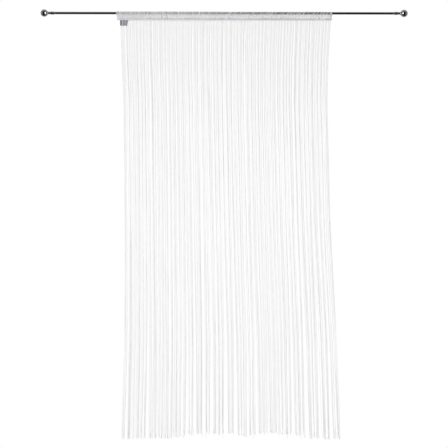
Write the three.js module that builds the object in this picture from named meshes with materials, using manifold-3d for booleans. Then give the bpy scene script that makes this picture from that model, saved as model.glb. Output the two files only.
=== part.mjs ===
// A white string curtain on its curtain rod, in millimetres, with +Z up and the front facing -Y.
// The origin is the middle of the rod's axis, which runs along X.
//
// The rod ends in two ball finials. A folded tape of sheer cloth carries the curtain on its rod
// pocket, and 300 loose strings hang from a narrow strip along the tape's lower edge. Near the top
// the strings are evenly spaced, and further down they gather into bunches with gaps between them.

import * as THREE from 'three';
import { mergeGeometries, mergeVertices } from 'three/addons/utils/BufferGeometryUtils.js';
import Module from 'manifold-3d';

const { clamp, lerp, smoothstep } = THREE.MathUtils;

// Room between two pieces that touch on the real object
const CLEARANCE = 0.3;

// The rod and its finials
const ROD_RADIUS = 6;
const ROD_SIDES = 32;
const BALL_SPACING = 1684; // from one ball's centre to the other's
const BALL_RADIUS = 17.4;
const BALL_STEPS = 9;
const BALL_FOOT_RADIUS = 7.3; // where the ball runs into the hollow curve of the neck
const NECK_RADIUS = 5.1;
const SOCKET_RADIUS = 7.1;
const BEAD_RADIUS = 7.4;
const FINIAL_SIDES = 24;
const ROD_END = 33.5; // from the ball's centre to the rod's end inside the socket

// A finial's turned profile from the neck to the socket's mouth, measured from the ball's centre
const TURNED = [
  { along: 17.4, radius: 6.4 },
  { along: 19.8, radius: 5.5 },
  { along: 22.6, radius: NECK_RADIUS },
  { along: 25.6, radius: NECK_RADIUS },
  { along: 28.4, radius: 5.7 },
  { along: 30.4, radius: 6.7 },
  { along: 31.8, radius: BEAD_RADIUS },
  { along: 34.6, radius: BEAD_RADIUS },
  { along: 36, radius: SOCKET_RADIUS },
  { along: 41, radius: SOCKET_RADIUS },
  { along: 42.2, radius: BEAD_RADIUS },
  { along: 44.6, radius: BEAD_RADIUS },
  { along: 45.6, radius: SOCKET_RADIUS },
];

// The heading tape
const CLOTH = 1.2; // one layer of the folded cloth
const TAPE_LEFT = -506;
const TAPE_RIGHT = 505;
const TAPE_LEFT_LEAN = 11; // how far the left end's lower corner is drawn in
const LEAN_REACH = 90; // the lean has faded out this far from the left end
const POCKET_WIDTH = 6.9; // from the rod's axis to the inside of the cloth, in front and behind
const POCKET_TOP = 6.55; // and above
const POCKET_FOOT = -19; // the inside of the pocket ends here
const SEAM = -20.2; // the two layers are stitched together from here down
const TAPE_FOOT = -26.7;
const TOP_CRUMPLE = 0.9; // how far the cloth rises off the rod at most
const FACE_CRUMPLE = 1.3; // how far the pocket's front and back swell at most
const ARC_STEPS = 6;

// The tape and the strip below it wave a little to the front and back, bay by bay
const BAY = 16.5;
const WAVES = [
  { reach: 0.8, length: 83, shift: 0.4 },
  { reach: 0.3, length: 61, shift: 2.1 },
];

// The backing strip that the strings hang from
const STRIP_TOP = TAPE_FOOT - CLEARANCE;
const STRIP_FOOT = -34;
const STRIP_LEFT = -492;
const STRIP_RIGHT = 503;
const STRIP_THICKNESS = 2.4;

// The strings. A drop is a depth below the rod's axis.
const STRING_COUNT = 300;
const STRING_RADIUS = 0.9; // a three-sided string is 1.56 wide
const STRING_SIDES = 3;
const ROOT = 30.5; // the drop of the strings' roots, half way down the strip
const BENDS = [400, 900, 1450]; // the drops where a string may bend
const LAYERS = [0, -1, 1]; // the strings hang in three layers, taken in turn
const LAYER_STEP = 2.2;
const LAYERS_FULL = 500; // the drop where the layers have parted
const UNEVEN_SPACING = 0.3; // of the distance between two strings
const UNEVEN_CUT = 8;

// The curtain's two side edges: it narrows below the tape and spreads again towards the ends
const OUTLINE = [
  { drop: 34, left: -485, right: 499 },
  { drop: 219, left: -480, right: 489 },
  { drop: 406, left: -472, right: 485 },
  { drop: 968, left: -467, right: 502 },
  { drop: 1529, left: -467, right: 530 },
  { drop: 1979, left: -477, right: 546 },
];
const LOWEST = OUTLINE[OUTLINE.length - 1];

// How far down the strings reach, which is less in the middle
const STRING_ENDS = [
  { x: -347, drop: 1990 },
  { x: -230, drop: 1983 },
  { x: -113, drop: 1965 },
  { x: 50, drop: 1966 },
  { x: 98, drop: 1977 },
  { x: 145, drop: 1971 },
  { x: 177, drop: 1962 },
  { x: 336, drop: 1968 },
  { x: 385, drop: 1986 },
  { x: 546, drop: 1990 },
];

// The wide partings between bunches: x and width at the string ends, and the drop where each opens
const PARTINGS = [
  { x: -455, width: 6, opens: 1500 },
  { x: -413, width: 5, opens: 1400 },
  { x: -356, width: 13, opens: 1250 },
  { x: -192, width: 6, opens: 900 },
  { x: -169, width: 12, opens: 900 },
  { x: -136, width: 8, opens: 700 },
  { x: -90, width: 9, opens: 300 },
  { x: -57, width: 12, opens: 350 },
  { x: 9, width: 13, opens: 350 },
  { x: 56, width: 12, opens: 900 },
  { x: 112, width: 9, opens: 350 },
  { x: 154, width: 8, opens: 1200 },
  { x: 328, width: 12, opens: 640 },
  { x: 388, width: 13, opens: 640 },
  { x: 453, width: 12, opens: 800 },
  { x: 500, width: 8, opens: 1300 },
];
const PUSH_REACH = 40; // how far along x a parting pushes its neighbours aside

// How tightly the bunches have drawn together at the string ends: 0 is not at all, 1 into a line
const TIGHTNESS = [
  { x: -478, tight: 0.55 },
  { x: -330, tight: 0.6 },
  { x: -300, tight: 0.3 },
  { x: -200, tight: 0.35 },
  { x: -170, tight: 0.62 },
  { x: 140, tight: 0.62 },
  { x: 170, tight: 0.35 },
  { x: 310, tight: 0.35 },
  { x: 340, tight: 0.6 },
  { x: 546, tight: 0.6 },
];
const UNEVEN_TIGHTNESS = 0.15;
const BUNCH_OF = 6; // strings, on average
const UNEVEN_BUNCHES = 0.6; // of a bunch's own width
const BUNCHES_OPEN = { earliest: 150, latest: 900 }; // the drops where they start to gather
const GROWTH = 1.3; // above 1, a bunch draws together faster near the string ends

// The label
const LABEL_LEFT = -487;
const LABEL_WIDTH = 38;
const LABEL_TOP = -28.5;
const LABEL_FOOT = -59.5;
const LABEL_THICKNESS = 1;
const LABEL_ROOM = 0.5; // from the strip's front to the label's back
const LABEL_SLANT = 6; // how far the right edge runs in towards the foot
const LABEL_TILT = 2.2; // how far the foot stands off to the front
const LABEL_CURL = 0.8;
const LABEL_COLUMNS = 6;
const LABEL_ROWS = 5;

// What is uneven draws its numbers from a row of its own, so that each is uneven in its own way
const DRAWS = {
  topCrumple: 100,
  frontCrumple: 200,
  backCrumple: 300,
  spacing: 1000,
  bunchEdge: 2000,
  bunchTightness: 3000,
  bunchOpening: 4000,
  cut: 5000,
};
const DRAW_STEP = 12.9898;
const DRAW_SCALE = 43758.5453;

// A number from 0 to 1 that looks random but is the same in every build
function chance(number) {
  const value = Math.sin(number * DRAW_STEP) * DRAW_SCALE;
  return value - Math.floor(value);
}

// Reads a table's column at a place between two rows, in a straight line from row to row
function between(table, key, column, place) {
  const above = table.findIndex((row) => row[key] >= place);
  if (above === 0) {
    return table[0][column];
  }
  if (above < 0) {
    return table[table.length - 1][column];
  }
  const low = table[above - 1];
  const high = table[above];
  return lerp(low[column], high[column], (place - low[key]) / (high[key] - low[key]));
}

// The ends of the bays that lie between two places along x, with those two places themselves
function stations(left, right) {
  const places = [left];
  for (let bay = Math.ceil(left / BAY); bay * BAY < right; bay += 1) {
    places.push(bay * BAY);
  }
  places.push(right);
  return places;
}

// How far the tape and the strip stand to the back or front at x, in a straight line in each bay
function wave(x) {
  const bay = Math.floor(x / BAY);
  const [start, end] = [bay, bay + 1].map((edge) => {
    let offset = 0;
    for (const { reach, length, shift } of WAVES) {
      offset += reach * Math.sin((2 * Math.PI * edge * BAY) / length + shift);
    }
    return offset;
  });
  return lerp(start, end, x / BAY - bay);
}

// Two triangles for each side of the bay between two rings of points
function joinRings(indices, ringA, ringB, count) {
  for (let i = 0; i < count; i += 1) {
    const next = (i + 1) % count;
    const [a, b, c, d] = [ringA + i, ringA + next, ringB + next, ringB + i];
    indices.push(a, c, b, a, d, c);
  }
}

// A closed body along a row of sections. Each section is a ring of points, and a second ring where
// a hollow runs right through the body. Seen from the last section towards the first, the outer
// ring runs clockwise and the inner one the other way. The plane names the section's two axes, in
// the order that turns the first onto the second about the way from the first section to the last.
function loft(plane, outerRings, innerRings = []) {
  const outerCount = outerRings[0].length;
  const innerCount = innerRings.length ? innerRings[0].length : 0;
  const innerStart = outerRings.length * outerCount;
  const indices = [];
  for (let k = 0; k + 1 < outerRings.length; k += 1) {
    joinRings(indices, k * outerCount, (k + 1) * outerCount, outerCount);
    const ring = innerStart + k * innerCount;
    joinRings(indices, ring, ring + innerCount, innerCount);
  }
  const flatten = (point) => new THREE.Vector2(point[plane[0]], point[plane[1]]);
  for (const end of [0, outerRings.length - 1]) {
    const hole = innerCount ? [innerRings[end].map(flatten)] : [];
    const faces = THREE.ShapeUtils.triangulateShape(outerRings[end].map(flatten), hole);
    const outerPlace = end * outerCount;
    const innerPlace = innerStart + end * innerCount - outerCount;
    for (const face of faces) {
      const corners = face.map((i) => i + (i < outerCount ? outerPlace : innerPlace));
      indices.push(...(end === 0 ? corners.reverse() : corners));
    }
  }
  const geometry = new THREE.BufferGeometry();
  geometry.setFromPoints([...outerRings.flat(), ...innerRings.flat()]);
  geometry.setIndex(indices);
  return geometry;
}

// The rod is a plain round bar here. The real one is a thin tube, closed by the finials.
function rodGeometry() {
  const length = BALL_SPACING - 2 * ROD_END;
  const geometry = new THREE.CylinderGeometry(ROD_RADIUS, ROD_RADIUS, length, ROD_SIDES);
  return geometry.rotateZ(Math.PI / 2);
}

// A finial turned in one piece, from the ball's outer pole to the bottom of the socket's bore.
// It points along +X here, with the ball's centre at 0 and the socket's mouth at the +X end.
function finialGeometry() {
  const bore = ROD_RADIUS + CLEARANCE;
  const boreEnd = ROD_END - CLEARANCE;
  const footAngle = Math.asin(BALL_FOOT_RADIUS / BALL_RADIUS);
  const profile = [new THREE.Vector2(0, -BALL_RADIUS)];
  for (let i = 1; i <= BALL_STEPS; i += 1) {
    const angle = lerp(Math.PI, footAngle, i / BALL_STEPS);
    profile.push(new THREE.Vector2(BALL_RADIUS * Math.sin(angle), BALL_RADIUS * Math.cos(angle)));
  }
  for (const { along, radius } of TURNED) {
    profile.push(new THREE.Vector2(radius, along));
  }
  const mouth = TURNED[TURNED.length - 1].along;
  profile.push(
    new THREE.Vector2(bore, mouth),
    new THREE.Vector2(bore, boreEnd),
    new THREE.Vector2(0, boreEnd),
  );
  const geometry = new THREE.LatheGeometry(profile, FINIAL_SIDES);
  return geometry.rotateZ(-Math.PI / 2);
}

// One section of the heading tape across the rod: over the rod in a half circle, down to the seam
// on both sides, and on as two flat layers. The crumples differ from section to section.
function tapeSection(topX) {
  const draw = Math.round(topX);
  const lift = TOP_CRUMPLE * chance(DRAWS.topCrumple + draw);
  const frontSwell = FACE_CRUMPLE * chance(DRAWS.frontCrumple + draw);
  const backSwell = FACE_CRUMPLE * chance(DRAWS.backCrumple + draw);
  const lean = TAPE_LEFT_LEAN * clamp(1 - (topX - TAPE_LEFT) / LEAN_REACH, 0, 1) ** 2;

  const place = (y, z) => {
    const down = clamp(z / TAPE_FOOT, 0, 1);
    const x = topX + lean * down;
    return new THREE.Vector3(x, y + wave(x) * down, z);
  };
  const overRod = (layer) => {
    const arc = [];
    for (let i = 0; i <= ARC_STEPS; i += 1) {
      const angle = Math.PI * (1 - i / ARC_STEPS);
      const height = (POCKET_TOP + lift + layer) * Math.sin(angle);
      arc.push(place((POCKET_WIDTH + layer) * Math.cos(angle), height));
    }
    return arc;
  };
  const halfDown = POCKET_FOOT / 2;
  const innerHalf = POCKET_WIDTH / 2;
  const outerHalf = innerHalf + CLOTH;
  const outer = [
    place(-CLOTH, TAPE_FOOT),
    place(-CLOTH, SEAM),
    place(-outerHalf - frontSwell, halfDown),
    ...overRod(CLOTH),
    place(outerHalf + backSwell, halfDown),
    place(CLOTH, SEAM),
    place(CLOTH, TAPE_FOOT),
  ];
  const inner = [
    place(0, POCKET_FOOT),
    place(innerHalf + backSwell, halfDown),
    ...overRod(0).reverse(),
    place(-innerHalf - frontSwell, halfDown),
  ];
  return { outer, inner };
}

function tapeGeometry() {
  const sections = stations(TAPE_LEFT, TAPE_RIGHT).map(tapeSection);
  return loft(['y', 'z'], sections.map(({ outer }) => outer), sections.map(({ inner }) => inner));
}

// The strip that all the strings hang from, along the tape's lower edge
function stripGeometry() {
  const half = STRIP_THICKNESS / 2;
  const sections = stations(STRIP_LEFT, STRIP_RIGHT).map((x) => [
    new THREE.Vector3(x, wave(x) - half, STRIP_FOOT),
    new THREE.Vector3(x, wave(x) - half, STRIP_TOP),
    new THREE.Vector3(x, wave(x) + half, STRIP_TOP),
    new THREE.Vector3(x, wave(x) + half, STRIP_FOOT),
  ]);
  return loft(['y', 'z'], sections);
}

// A string's share of the way from the left edge to the right one
function stringShare(index) {
  const isEdge = index === 0 || index === STRING_COUNT - 1;
  const shift = isEdge ? 0 : UNEVEN_SPACING * (chance(DRAWS.spacing + index) - 0.5);
  return (index + shift) / (STRING_COUNT - 1);
}

// The bunches from left to right, each with the string that it starts at and the one after its
// last. No bunch reaches across a parting.
function gatherBunches() {
  const width = LOWEST.right - LOWEST.left;
  const firsts = PARTINGS.map(({ x }) => Math.round(((x - LOWEST.left) / width) * STRING_COUNT));
  const bounds = [0, ...firsts, STRING_COUNT];
  const bunches = [];
  for (let group = 0; group + 1 < bounds.length; group += 1) {
    const size = bounds[group + 1] - bounds[group];
    const parts = Math.max(1, Math.round(size / BUNCH_OF));
    let start = bounds[group];
    for (let part = 1; part <= parts; part += 1) {
      const draw = bunches.length;
      const shift = part < parts ? UNEVEN_BUNCHES * (chance(DRAWS.bunchEdge + draw) - 0.5) : 0;
      const end = bounds[group] + Math.round(((part + shift) * size) / parts);
      const share = (stringShare(start) + stringShare(end - 1)) / 2;
      const x = LOWEST.left + share * width;
      const uneven = UNEVEN_TIGHTNESS * (2 * chance(DRAWS.bunchTightness + draw) - 1);
      const opening = chance(DRAWS.bunchOpening + draw);
      bunches.push({
        end,
        share,
        x,
        tight: between(TIGHTNESS, 'x', 'tight', x) + uneven,
        opens: lerp(BUNCHES_OPEN.earliest, BUNCHES_OPEN.latest, opening),
      });
      start = end;
    }
  }
  return bunches;
}

const BUNCHES = gatherBunches();

// From 0 at the drop where a bunch or a parting opens to 1 at the string ends
function growth(drop, opens) {
  return Math.max(0, (drop - opens) / (LOWEST.drop - opens)) ** GROWTH;
}

// How far the partings push a bunch to the right at a drop
function pushedAside(bunch, drop) {
  let push = 0;
  for (const { x, width, opens } of PARTINGS) {
    const away = bunch.x - x;
    const fades = Math.exp(-Math.abs(away) / PUSH_REACH);
    push += Math.sign(away) * (width / 2) * fades * growth(drop, opens);
  }
  return push;
}

// The middle of a string at a drop
function stringPoint(index, drop) {
  const bunch = BUNCHES.find(({ end }) => index < end);
  const share = stringShare(index);
  const left = between(OUTLINE, 'drop', 'left', drop);
  const width = between(OUTLINE, 'drop', 'right', drop) - left;
  const gathered = bunch.tight * growth(drop, bunch.opens);
  const fromMiddle = (share - bunch.share) * width * (1 - gathered);
  const x = left + bunch.share * width + pushedAside(bunch, drop) + fromMiddle;

  const rootX = lerp(OUTLINE[0].left, OUTLINE[0].right, share);
  const layer = LAYERS[index % LAYERS.length] * LAYER_STEP;
  return new THREE.Vector3(x, wave(rootX) + layer * smoothstep(drop, ROOT, LAYERS_FULL), -drop);
}

// One string: a slim three-sided body from inside the strip down to its cut end
function stringGeometry(index) {
  const endX = stringPoint(index, LOWEST.drop).x;
  const uneven = UNEVEN_CUT * (chance(DRAWS.cut + index) - 0.5);
  const end = between(STRING_ENDS, 'x', 'drop', endX) + uneven;
  const sections = [ROOT, ...BENDS, end].map((drop) => {
    const middle = stringPoint(index, drop);
    const ring = [];
    for (let side = 0; side < STRING_SIDES; side += 1) {
      const angle = (2 * Math.PI * side) / STRING_SIDES - Math.PI / 2;
      const x = middle.x + STRING_RADIUS * Math.cos(angle);
      const y = middle.y + STRING_RADIUS * Math.sin(angle);
      ring.push(new THREE.Vector3(x, y, middle.z));
    }
    return ring;
  });
  return loft(['y', 'x'], sections);
}

const wasm = await Module();
wasm.setup();

function toSolid(geometry) {
  const bare = geometry.clone();
  bare.deleteAttribute('normal');
  bare.deleteAttribute('uv');
  const merged = mergeVertices(bare);
  return new wasm.Manifold(new wasm.Mesh({
    numProp: 3,
    vertProperties: new Float32Array(merged.attributes.position.array),
    triVerts: new Uint32Array(merged.index.array),
  }));
}

function fromSolid(solid) {
  const mesh = solid.getMesh();
  const geometry = new THREE.BufferGeometry();
  geometry.setAttribute('position', new THREE.BufferAttribute(mesh.vertProperties, mesh.numProp));
  geometry.setIndex(new THREE.BufferAttribute(mesh.triVerts, 1));
  return geometry;
}

// The strip with all its strings, which are fused to it only where their roots sit in it
function stringsGeometry() {
  const strings = [];
  for (let index = 0; index < STRING_COUNT; index += 1) {
    strings.push(stringGeometry(index));
  }
  const loose = toSolid(mergeGeometries(strings));
  return fromSolid(toSolid(stripGeometry()).add(loose));
}

// One upright section of the label, from the foot up its front and down its back
function labelSection(across) {
  const front = [];
  const back = [];
  for (let row = 0; row <= LABEL_ROWS; row += 1) {
    const down = row / LABEL_ROWS;
    const x = LABEL_LEFT + across * (LABEL_WIDTH - LABEL_SLANT * down);
    const z = lerp(LABEL_TOP, LABEL_FOOT, down);
    const standsOff = LABEL_TILT * down + LABEL_CURL * down * Math.sin(Math.PI * across);
    const y = wave(x) - STRIP_THICKNESS / 2 - LABEL_ROOM - standsOff;
    front.unshift(new THREE.Vector3(x, y - LABEL_THICKNESS, z));
    back.push(new THREE.Vector3(x, y, z));
  }
  return [...front, ...back];
}

// The label: a small sheet, slightly curled, that hangs just in front of the strip and the strings
function labelGeometry() {
  const sections = [];
  for (let column = 0; column <= LABEL_COLUMNS; column += 1) {
    sections.push(labelSection(column / LABEL_COLUMNS));
  }
  return loft(['y', 'z'], sections);
}

const darkChrome = { color: 0x6c6c70, roughness: 0.22, metalness: 1 };
const sheerCloth = { color: 0xe9e9ee, roughness: 0.8, metalness: 0 };
const whiteYarn = { color: 0xf4f4f6, roughness: 0.9, metalness: 0 };
const greyLabel = { color: 0x9a98a2, roughness: 0.85, metalness: 0 };

function piece(name, geometry, finish) {
  geometry.computeVertexNormals();
  const mesh = new THREE.Mesh(geometry, new THREE.MeshStandardMaterial(finish));
  mesh.name = name;
  return mesh;
}

const finialLeft = piece('finial_left', finialGeometry(), darkChrome);
finialLeft.position.x = -BALL_SPACING / 2;
const finialRight = piece('finial_right', finialGeometry(), darkChrome);
finialRight.position.x = BALL_SPACING / 2;
finialRight.rotation.z = Math.PI;

const curtain = new THREE.Group();
curtain.add(
  piece('rod', rodGeometry(), darkChrome),
  finialLeft,
  finialRight,
  piece('heading_tape', tapeGeometry(), sheerCloth),
  piece('strings', stringsGeometry(), whiteYarn),
  piece('label', labelGeometry(), greyLabel),
);

export default curtain;
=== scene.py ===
# %% [markdown]
# # A white string curtain on its rod
#
# This lesson dresses a string curtain: a thin dark chrome rod with two ball finials, a tape of
# sheer cloth that slides over the rod, and 300 loose white strings. The solids of the part are
# loaded first, as a fixed frame that says where everything is. Each step below then makes one
# piece or one finish. All lengths in the tables are millimetres, and MM turns them into metres.

# %% Load the frame
import math

import bpy
import numpy as np
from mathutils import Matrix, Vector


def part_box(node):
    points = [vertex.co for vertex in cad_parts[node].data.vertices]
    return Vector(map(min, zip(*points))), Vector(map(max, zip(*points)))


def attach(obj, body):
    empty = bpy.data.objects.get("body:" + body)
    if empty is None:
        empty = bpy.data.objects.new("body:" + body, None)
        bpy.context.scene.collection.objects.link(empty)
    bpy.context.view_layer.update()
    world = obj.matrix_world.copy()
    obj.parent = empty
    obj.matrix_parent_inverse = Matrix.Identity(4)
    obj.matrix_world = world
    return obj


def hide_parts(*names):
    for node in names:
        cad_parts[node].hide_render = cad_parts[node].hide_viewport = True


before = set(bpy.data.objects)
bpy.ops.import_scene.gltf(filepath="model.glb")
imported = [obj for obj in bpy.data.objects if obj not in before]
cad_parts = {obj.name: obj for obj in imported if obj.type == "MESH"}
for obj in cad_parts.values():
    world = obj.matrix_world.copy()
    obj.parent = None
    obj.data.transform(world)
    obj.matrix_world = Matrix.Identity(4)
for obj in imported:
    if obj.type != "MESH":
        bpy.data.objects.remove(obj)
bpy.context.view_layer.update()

MM = 0.001
print("frame nodes:", sorted(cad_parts))

# %% [markdown]
# ## The camera
#
# The photograph is taken square on, with the camera level and far away, so that the rod and the
# string ends are both straight lines. The scale comes from the rod: one pixel of the square
# picture is 4.68 mm at the curtain. From that the lens follows, whatever distance is chosen.

# %% Place the camera
PIXEL = 4.68 * MM
PICTURE_PIXELS = 448
ROD_MIDDLE = {"column": 223.95, "row": 13.2}
CAMERA_DISTANCE = 5.5
CAMERA_ROLL = -0.06

camera_data = bpy.data.cameras.new("square_on_camera")
camera = bpy.data.objects.new("square_on_camera", camera_data)
bpy.context.scene.collection.objects.link(camera)
bpy.context.scene.camera = camera
picture_middle = PICTURE_PIXELS / 2
camera.location = (
    (picture_middle - ROD_MIDDLE["column"]) * PIXEL,
    -CAMERA_DISTANCE,
    (ROD_MIDDLE["row"] - picture_middle) * PIXEL,
)
camera.rotation_euler = (math.pi / 2, math.radians(CAMERA_ROLL), 0)
camera_data.lens = camera_data.sensor_width * CAMERA_DISTANCE / (PICTURE_PIXELS * PIXEL)
print(f"lens {camera_data.lens:.1f} mm, camera at", [round(v, 3) for v in camera.location])

# %% [markdown]
# ## The studio sky
#
# White strings in front of a white background only show by their own shade, and polished metal
# only shows what it reflects. So the sky has three parts. What the camera sees is pure white. What
# lights the cloth is soft and a little stronger from above. What the metal reflects is a dark room
# in front, with white walls at both sides and a white sheet above and behind, which gives it a
# dark middle and pale rims.

# %% Studio sky
SKY_SEEN = 1.005
SKY_LIGHT = {"from": 0, "to": 1, "level": 0.68, "above": 1.45}
SKY_MIRRORED = {"from": -0.7, "to": 0.55, "dark": 0.02, "light": 0.9}
SKY_SIDES = {"from": 0.45, "to": 0.9, "dark": 0.0, "light": 0.55}
TO_LIGHT = {"soft": (0, 0, 1), "sides": (1, 0, 0), "mirrored": (0, 0.9, 0.44)}
GRADE_INPUTS = ("From Min", "From Max", "To Min", "To Max")


def node(tree, kind, **values):
    """Adds a node and sets its inputs, which are named with _ for a space."""
    made = tree.nodes.new(kind)
    for name, value in values.items():
        made.inputs[name.replace("_", " ")].default_value = value
    return made


def calculated(tree, operation, *inputs):
    """A math node. Each input is a number or another node's output."""
    made = tree.nodes.new("ShaderNodeMath")
    made.operation = operation
    for socket, value in zip(made.inputs, inputs):
        if isinstance(value, (int, float)):
            socket.default_value = value
        else:
            tree.links.new(value, socket)
    return made.outputs[0]


def graded(tree, to_light, low, high, dark, light, both_ways=False):
    """A strength that goes from dark to light towards one side of the sky, or two opposite ones."""
    way = tree.nodes.new("ShaderNodeTexCoord")
    towards = tree.nodes.new("ShaderNodeVectorMath")
    towards.operation = "DOT_PRODUCT"
    towards.inputs[1].default_value = to_light
    tree.links.new(way.outputs["Generated"], towards.inputs[0])
    share = towards.outputs["Value"]
    if both_ways:
        share = calculated(tree, "ABSOLUTE", share)
    grade = node(tree, "ShaderNodeMapRange")
    grade.interpolation_type = "SMOOTHSTEP"
    for name, value in zip(GRADE_INPUTS, (low, high, dark, light)):
        grade.inputs[name].default_value = value
    tree.links.new(share, grade.inputs["Value"])
    return grade.outputs["Result"]


def sky_of(tree, strength):
    made = node(tree, "ShaderNodeBackground", Color=(1, 1, 1, 1))
    tree.links.new(strength, made.inputs["Strength"])
    return made.outputs[0]


def make_studio_sky():
    """One sky for the camera, one for matt things and one for shiny things."""
    world = bpy.data.worlds.new("white_studio")
    world.use_nodes = True
    tree = world.node_tree
    tree.nodes.clear()
    seen = node(tree, "ShaderNodeBackground", Color=(1, 1, 1, 1), Strength=SKY_SEEN)
    soft = sky_of(tree, graded(tree, TO_LIGHT["soft"], *SKY_LIGHT.values()))
    room = graded(tree, TO_LIGHT["mirrored"], *SKY_MIRRORED.values())
    sides = graded(tree, TO_LIGHT["sides"], *SKY_SIDES.values(), both_ways=True)
    mirrored = sky_of(tree, calculated(tree, "MAXIMUM", room, sides))
    rays = tree.nodes.new("ShaderNodeLightPath")
    shiny_or_matt = tree.nodes.new("ShaderNodeMixShader")
    tree.links.new(rays.outputs["Is Glossy Ray"], shiny_or_matt.inputs[0])
    tree.links.new(soft, shiny_or_matt.inputs[1])
    tree.links.new(mirrored, shiny_or_matt.inputs[2])
    all_three = tree.nodes.new("ShaderNodeMixShader")
    tree.links.new(rays.outputs["Is Camera Ray"], all_three.inputs[0])
    tree.links.new(shiny_or_matt.outputs[0], all_three.inputs[1])
    tree.links.new(seen.outputs[0], all_three.inputs[2])
    output = tree.nodes.new("ShaderNodeOutputWorld")
    tree.links.new(all_three.outputs[0], output.inputs["Surface"])
    bpy.context.scene.world = world
    return world


print("sky:", make_studio_sky().name)

# %% [markdown]
# ## The lamps
#
# The sky alone would leave the cloth flat. Two fills in front keep the strings as light at their
# ends as at the tape, and a lamp far to the left models the creases. The card in front of the rod
# is for shine only, and a later step links it to the two balls.

# %% Lamps
LAMPS = {
    "string_fill": {
        "place": (0, -1.0, -0.86),
        "target": (0, 0, -0.86),
        "size": (1, 1),
        "watts": 4.6,
        "for_cloth": True,
    },
    "foot_fill": {
        "place": (0, -1.0, -1.8),
        "target": (0, 0, -1.8),
        "size": (1, 1),
        "watts": 1.3,
        "for_cloth": True,
    },
    "crease_side_lamp": {
        "place": (-2.4, -1.6, 0.5),
        "target": (0, 0, -0.3),
        "size": (0.8, 0.8),
        "watts": 14,
        "for_cloth": True,
    },
    "ball_shine_card": {
        "place": (0, -0.95, -0.11),
        "target": (0, 0, 0),
        "size": (0.55, 0.8),
        "watts": 14,
        "for_cloth": False,
    },
}


def add_lamp(name, place, target, size, watts, for_cloth):
    """A soft lamp, either for cloth or for the shine of metal. It isn't seen itself."""
    data = bpy.data.lights.new(name, "AREA")
    data.shape = "RECTANGLE"
    data.size, data.size_y = size
    data.energy = watts
    lamp = bpy.data.objects.new(name, data)
    bpy.context.scene.collection.objects.link(lamp)
    lamp.location = place
    way = np.subtract(target, place)
    lamp.rotation_euler = Vector(way).to_track_quat("-Z", "Y").to_euler()
    lamp.visible_camera = False
    lamp.visible_diffuse = for_cloth
    lamp.visible_glossy = not for_cloth
    return lamp


lamps = {name: add_lamp(name, **row) for name, row in LAMPS.items()}
print("lamps:", *lamps)

# %% [markdown]
# ## The floor
#
# The curtain hangs half a metre above a pale floor. From the front the floor is just below the
# picture, so it only shows in the other views. It is stage: a place to stand and not a piece of the
# part. Colours are shown as they are, without a film look, so that white stays white.

# %% Floor
FLOOR_DROP = 2520 * MM
FLOOR_SIZE = 5.0

floor_data = bpy.data.meshes.new("pale_floor")
half = FLOOR_SIZE / 2
corners = [(-half, -half), (half, -half), (half, half), (-half, half)]
floor_data.from_pydata([(x, y, -FLOOR_DROP) for x, y in corners], [], [(0, 1, 2, 3)])
floor = bpy.data.objects.new("pale_floor", floor_data)
bpy.context.scene.collection.objects.link(floor)
floor.visible_glossy = False
bpy.context.scene.view_settings.view_transform = "Standard"
print("floor", FLOOR_SIZE, "m square,", FLOOR_DROP, "m below the rod")

# %% [markdown]
# ## Helpers for unevenness
#
# Nothing on a real string curtain is even: the strings are knitted a little closer here and wider
# there, and cut a little longer or shorter. A number that only looks random, worked out from a
# whole number, gives the same uneven curtain in every run. The solids of the part use the same
# numbers, so that each string hangs where its solid does.

# %% Repeatable chance
DRAW_STEP = 12.9898
DRAW_SCALE = 43758.5453
DRAWS = {
    "spacing": 1000,
    "bunch_edge": 2000,
    "bunch_tightness": 3000,
    "bunch_opening": 4000,
    "cut": 5000,
    "sway": 6000,
    "flick": 7000,
    "thickness": 8000,
    "fray": 9000,
    "crumple": 20000,
    "pinch": 30000,
    "clump": 40000,
}


def chance(number):
    """From 0 to 1 for each whole number, or for each of an array of them."""
    value = np.sin(np.asarray(number, float) * DRAW_STEP) * DRAW_SCALE
    return value - np.floor(value)


def either_way(number):
    """From -1 to 1."""
    return 2 * chance(number) - 1


def column(table, name):
    """One named column of a table, as a list."""
    return [row[name] for row in table]


def between(table, key, name, place):
    """Reads a column at a place between two rows, in a straight line from row to row."""
    return np.interp(place, column(table, key), column(table, name))


print("three chances:", chance([1, 2, 3]).round(3))

# %% [markdown]
# ## Helpers for meshes
#
# Most pieces here are one of two things. A tube is a row of rings, for yarn, thread and turned
# metal. A cloth is a grid of points. Both are arrays of points first and meshes last, which keeps
# 300 strings quick to make. Blender's own curves would make tubes too, but not with a thickness
# and a map that are ours to set at every ring. A mesh can also carry a number at each of its
# points, which its finish reads: that is how a finish knows where the cloth is gathered.

# %% Mesh helpers


def make_object(name, points, faces, finish, uv=None):
    """A smooth mesh object that rides on the part's only body. Points are in metres."""
    data = bpy.data.meshes.new(name)
    data.from_pydata(np.asarray(points).tolist(), [], [list(face) for face in faces])
    data.polygons.foreach_set("use_smooth", np.ones(len(data.polygons), bool))
    if uv is not None:
        layer = data.uv_layers.new(name="Cloth")
        layer.data.foreach_set("uv", np.asarray(uv, float).ravel())
    data.materials.append(finish)
    made = bpy.data.objects.new(name, data)
    bpy.context.scene.collection.objects.link(made)
    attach(made, "root")
    return made


def triangle_count(made):
    return sum(len(face.vertices) - 2 for face in made.data.polygons)


def tube_faces(tubes, rings, sides):
    """Quads of many tubes, whose points run tube by tube, ring by ring, side by side."""
    side = np.arange(sides)
    ring = np.arange(rings - 1)[:, None]
    low = ring * sides + side
    low_next = ring * sides + (side + 1) % sides
    quads = np.stack([low, low_next, low_next + sides, low + sides], axis=-1).reshape(-1, 4)
    starts = np.arange(tubes)[:, None, None] * rings * sides
    return (quads[None] + starts).reshape(-1, 4)


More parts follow.
